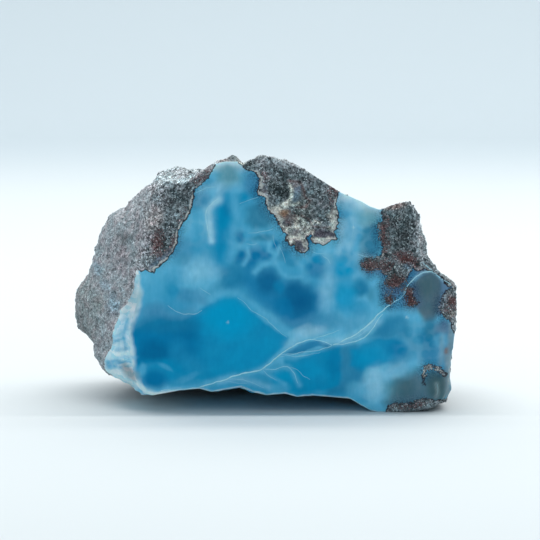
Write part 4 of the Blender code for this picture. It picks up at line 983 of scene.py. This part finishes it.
# Grains that stand out of the basalt, by kind: how many, size from and to, length over width, what they multiply
# the basalt's tone by, how far they take a tone of their own and which, and how far one grain's shade strays.
grainShape = {
    "paleGrains": {
        "count": 12000, "size": (0.10, 0.26), "length": 2.6, "gain": 1.75, "own": 0.15, "tone": (190, 196, 198), "stray": 0.35, "seed": 81,
    },
    "darkGrains": {
        "count": 10000, "size": (0.14, 0.36), "length": 1.5, "gain": 0.42, "own": 0.1, "tone": (44, 54, 56), "stray": 0.35, "seed": 82,
    },
    "rustGrains": {
        "count": 2600, "size": (0.14, 0.30), "length": 1.3, "gain": 0.8, "own": 0.6, "tone": (88, 50, 50), "stray": 0.5, "seed": 83,
    },
}


def makeGrains(name, quads, points, basalt, amounts, contrast, rockTone):
    # six-sided double cones, turned at random and half sunk in the basalt, more of them where it's coarse and
    # none in the cream rim; each tone is the basalt's own there, changed less where it's weathered
    shape = grainShape[name]
    count = shape["count"]
    chance = np.random.default_rng(shape["seed"])
    corners = points[quads]
    normals = np.cross(corners[:, 1] - corners[:, 0], corners[:, 2] - corners[:, 0])
    area = np.linalg.norm(normals, axis=1)
    clear = (basalt - 0.3 - 1.2 * amounts["creamWidth"])[quads].min(axis=1) > 0
    clear &= corners[:, :, 2].min(axis=1) > 0.8
    rough = contrast[quads].mean(axis=1)
    share = amounts["rust"][quads].mean(axis=1) ** 2 if name == "rustGrains" else rough - 0.1
    weight = area * clear * share
    chosen = chance.choice(len(quads), count, p=weight / weight.sum())
    u, v = np.sort(chance.random((2, count, 1)), axis=0)
    centre = corners[chosen, 0] * u + corners[chosen, 1] * (v - u) + corners[chosen, 2] * (1 - v)
    first = chance.normal(size=(count, 3))
    first /= np.linalg.norm(first, axis=1)[:, None]
    second = np.cross(first, chance.normal(size=(count, 3)))
    second /= np.linalg.norm(second, axis=1)[:, None]
    third = np.cross(first, second)
    turn = np.arange(6) * math.pi / 3
    corner = np.vstack([np.stack([0 * turn, np.cos(turn), np.sin(turn)], axis=1), [(1, 0, 0), (-1, 0, 0)]])
    size = chance.uniform(*shape["size"], (count, 1, 1))
    centre -= 0.3 * size[:, 0] * normals[chosen] / area[chosen, None]
    size = size * np.concatenate([chance.uniform(1, shape["length"], (count, 1, 1)), np.ones((count, 1, 2))], axis=2)
    spread = corner * size * chance.uniform(0.75, 1.2, (count, 8, 1))
    grains = centre[:, None] + spread @ np.stack([first, second, third], axis=1)
    ring = np.arange(6)
    upper = np.stack([ring, (ring + 1) % 6, np.full(6, 6)], axis=1)
    lower = np.stack([(ring + 1) % 6, ring, np.full(6, 7)], axis=1)
    faces = (np.vstack([upper, lower]) + 8 * np.arange(count)[:, None, None]).reshape(-1, 3)

    material, tree, surface = newMaterial(name + "Mineral")
    cloud = noiseNode(tree, millimetres(tree), 1.5)
    shade = rampNode(tree, cloud, [(0.3, (0.8,) * 3), (0.7, (1.2,) * 3)])
    tone = mixNode(tree, 1.0, attributeNode(tree, "grainTone", colour=True), shade, "MULTIPLY")
    tree.links.new(tone, surface.inputs["Base Color"])
    surface.inputs["Roughness"].default_value = 0.7
    surface.inputs["Specular IOR Level"].default_value = 0.1
    piece = newPiece(name, rowPlaces(grains.reshape(-1, 3)), faces.tolist(), material, smooth=False)
    full = np.clip(rough[chosen] / 0.95, 0, 1)[:, None] ** 1.5
    stray = np.exp(chance.normal(0, shape["stray"], (count, 1)) * full)
    colours = rockTone[quads[chosen, 0]] * shape["gain"] ** full
    colours += shape["own"] * full * (seenTone(*shape["tone"]) - colours)
    addColours(piece, "grainTone", np.repeat(np.clip(colours * stray, 0, 0.9), 8, axis=0))
    return piece


studio = {
    "floorFront": -1.4, "floorBack": 0.95, "sweepRadius": 0.25, "wallTop": 1.8, "halfWidth": 2.2,
    # the floor's tone, a greyer one further back that is painted shade of the sweep turning away from the lamps, and
    # where it changes from one to the other
    "floorTone": (0.66, 0.69, 0.705), "shadedBackTone": (0.58, 0.635, 0.67), "toneChange": (0.50, 0.90),
    # lamps, all facing straight down: place, size, watts, colour
    "lamps": {
        "frontStrip": ((0.22, 0.026, 0.80), (1.6, 0.025), 5.0, (1.0, 0.975, 0.94)),
        "rearStrip": ((0.22, 0.215, 0.80), (1.6, 0.10), 3.8, (1.0, 0.975, 0.94)),
        "wallStrip": ((0, 0.80, 0.90), (2.6, 0.70), 8.5, (1.0, 0.99, 0.97)),
    },
    "worldTone": (0.74, 0.91, 1.0), "worldStrength": 0.58,
    # the camera: distance from the face, degrees above level, what it looks at, size of a pixel there
    "distance": 0.652, "elevation": 8, "target": (0.00158, -0.0295, 0.04195), "pixelSize": 0.00029,
}


def makeStudio():
    # the floor's profile, front to back, then a quarter round and a wall, carried across the width
    material, tree, surface = newMaterial("paleSweep")
    fibre = rampNode(tree, noiseNode(tree, millimetres(tree), 0.004), [(0.3, (0.99,) * 3), (0.7, (1.0,) * 3)])
    depth = addNode(tree, "SeparateXYZ", {0: addNode(tree, "TexCoord").outputs["Object"]}).outputs[1]
    further = fadeNode(tree, depth, *studio["toneChange"])
    tone = mixNode(tree, further, (*studio["floorTone"], 1), (*studio["shadedBackTone"], 1))
    tree.links.new(mixNode(tree, 1.0, tone, fibre, "MULTIPLY"), surface.inputs["Base Color"])
    surface.inputs["Roughness"].default_value = 0.9
    surface.inputs["Specular IOR Level"].default_value = 0.1
    radius, back = studio["sweepRadius"], studio["floorBack"]
    turn = np.linspace(0, math.pi / 2, 24)
    y = np.concatenate([np.linspace(studio["floorFront"], back, 12), back + radius * np.sin(turn[1:])])
    z = np.concatenate([np.zeros(12), radius * (1 - np.cos(turn[1:]))])
    y, z = np.append(y, y[-1]), np.append(z, studio["wallTop"])
    x = np.linspace(-studio["halfWidth"], studio["halfWidth"], 9)
    points = np.stack([np.repeat(x, len(y)), np.tile(y, len(x)), np.tile(z, len(x))], axis=1)
    index = np.arange(len(points)).reshape(len(x), len(y))
    newPiece("paleSweep", points, gridQuads(index.T).tolist(), material)

    for name, (place, size, watts, colour) in studio["lamps"].items():
        lamp = bpy.data.lights.new(name, "AREA")
        lamp.shape = "RECTANGLE"
        lamp.size, lamp.size_y = size
        lamp.energy = watts
        lamp.color = colour
        stand = bpy.data.objects.new(name, lamp)
        stand.location = place
        bpy.context.scene.collection.objects.link(stand)

    world = bpy.data.worlds.new("softWorld")
    world.use_nodes = True
    backdrop = world.node_tree.nodes["Background"]
    backdrop.inputs["Color"].default_value = (*studio["worldTone"], 1)
    backdrop.inputs["Strength"].default_value = studio["worldStrength"]
    bpy.context.scene.world = world


def makeCamera():
    data = bpy.data.cameras.new("camera")
    data.sensor_width = 36
    data.lens = 36 * studio["distance"] / studio["pixelSize"] / 540
    camera = bpy.data.objects.new("camera", data)
    rise = math.radians(studio["elevation"])
    x, y, z = studio["target"]
    away = studio["distance"]
    camera.location = (x, y - away * math.cos(rise), z + away * math.sin(rise))
    camera.rotation_euler = (math.pi / 2 - rise, 0, 0)
    bpy.context.scene.collection.objects.link(camera)
    bpy.context.scene.camera = camera


makeCamera()
makeStudio()
print("larimar: camera and studio made")
for piece in [*makeStone(), makeVeins()]:
    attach(piece, "root")
    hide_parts("larimar")
    print("larimar:", piece.name, "made,", len(piece.data.polygons), "faces")

bpy.context.scene.view_settings.view_transform = "Standard"
print("larimar: done")
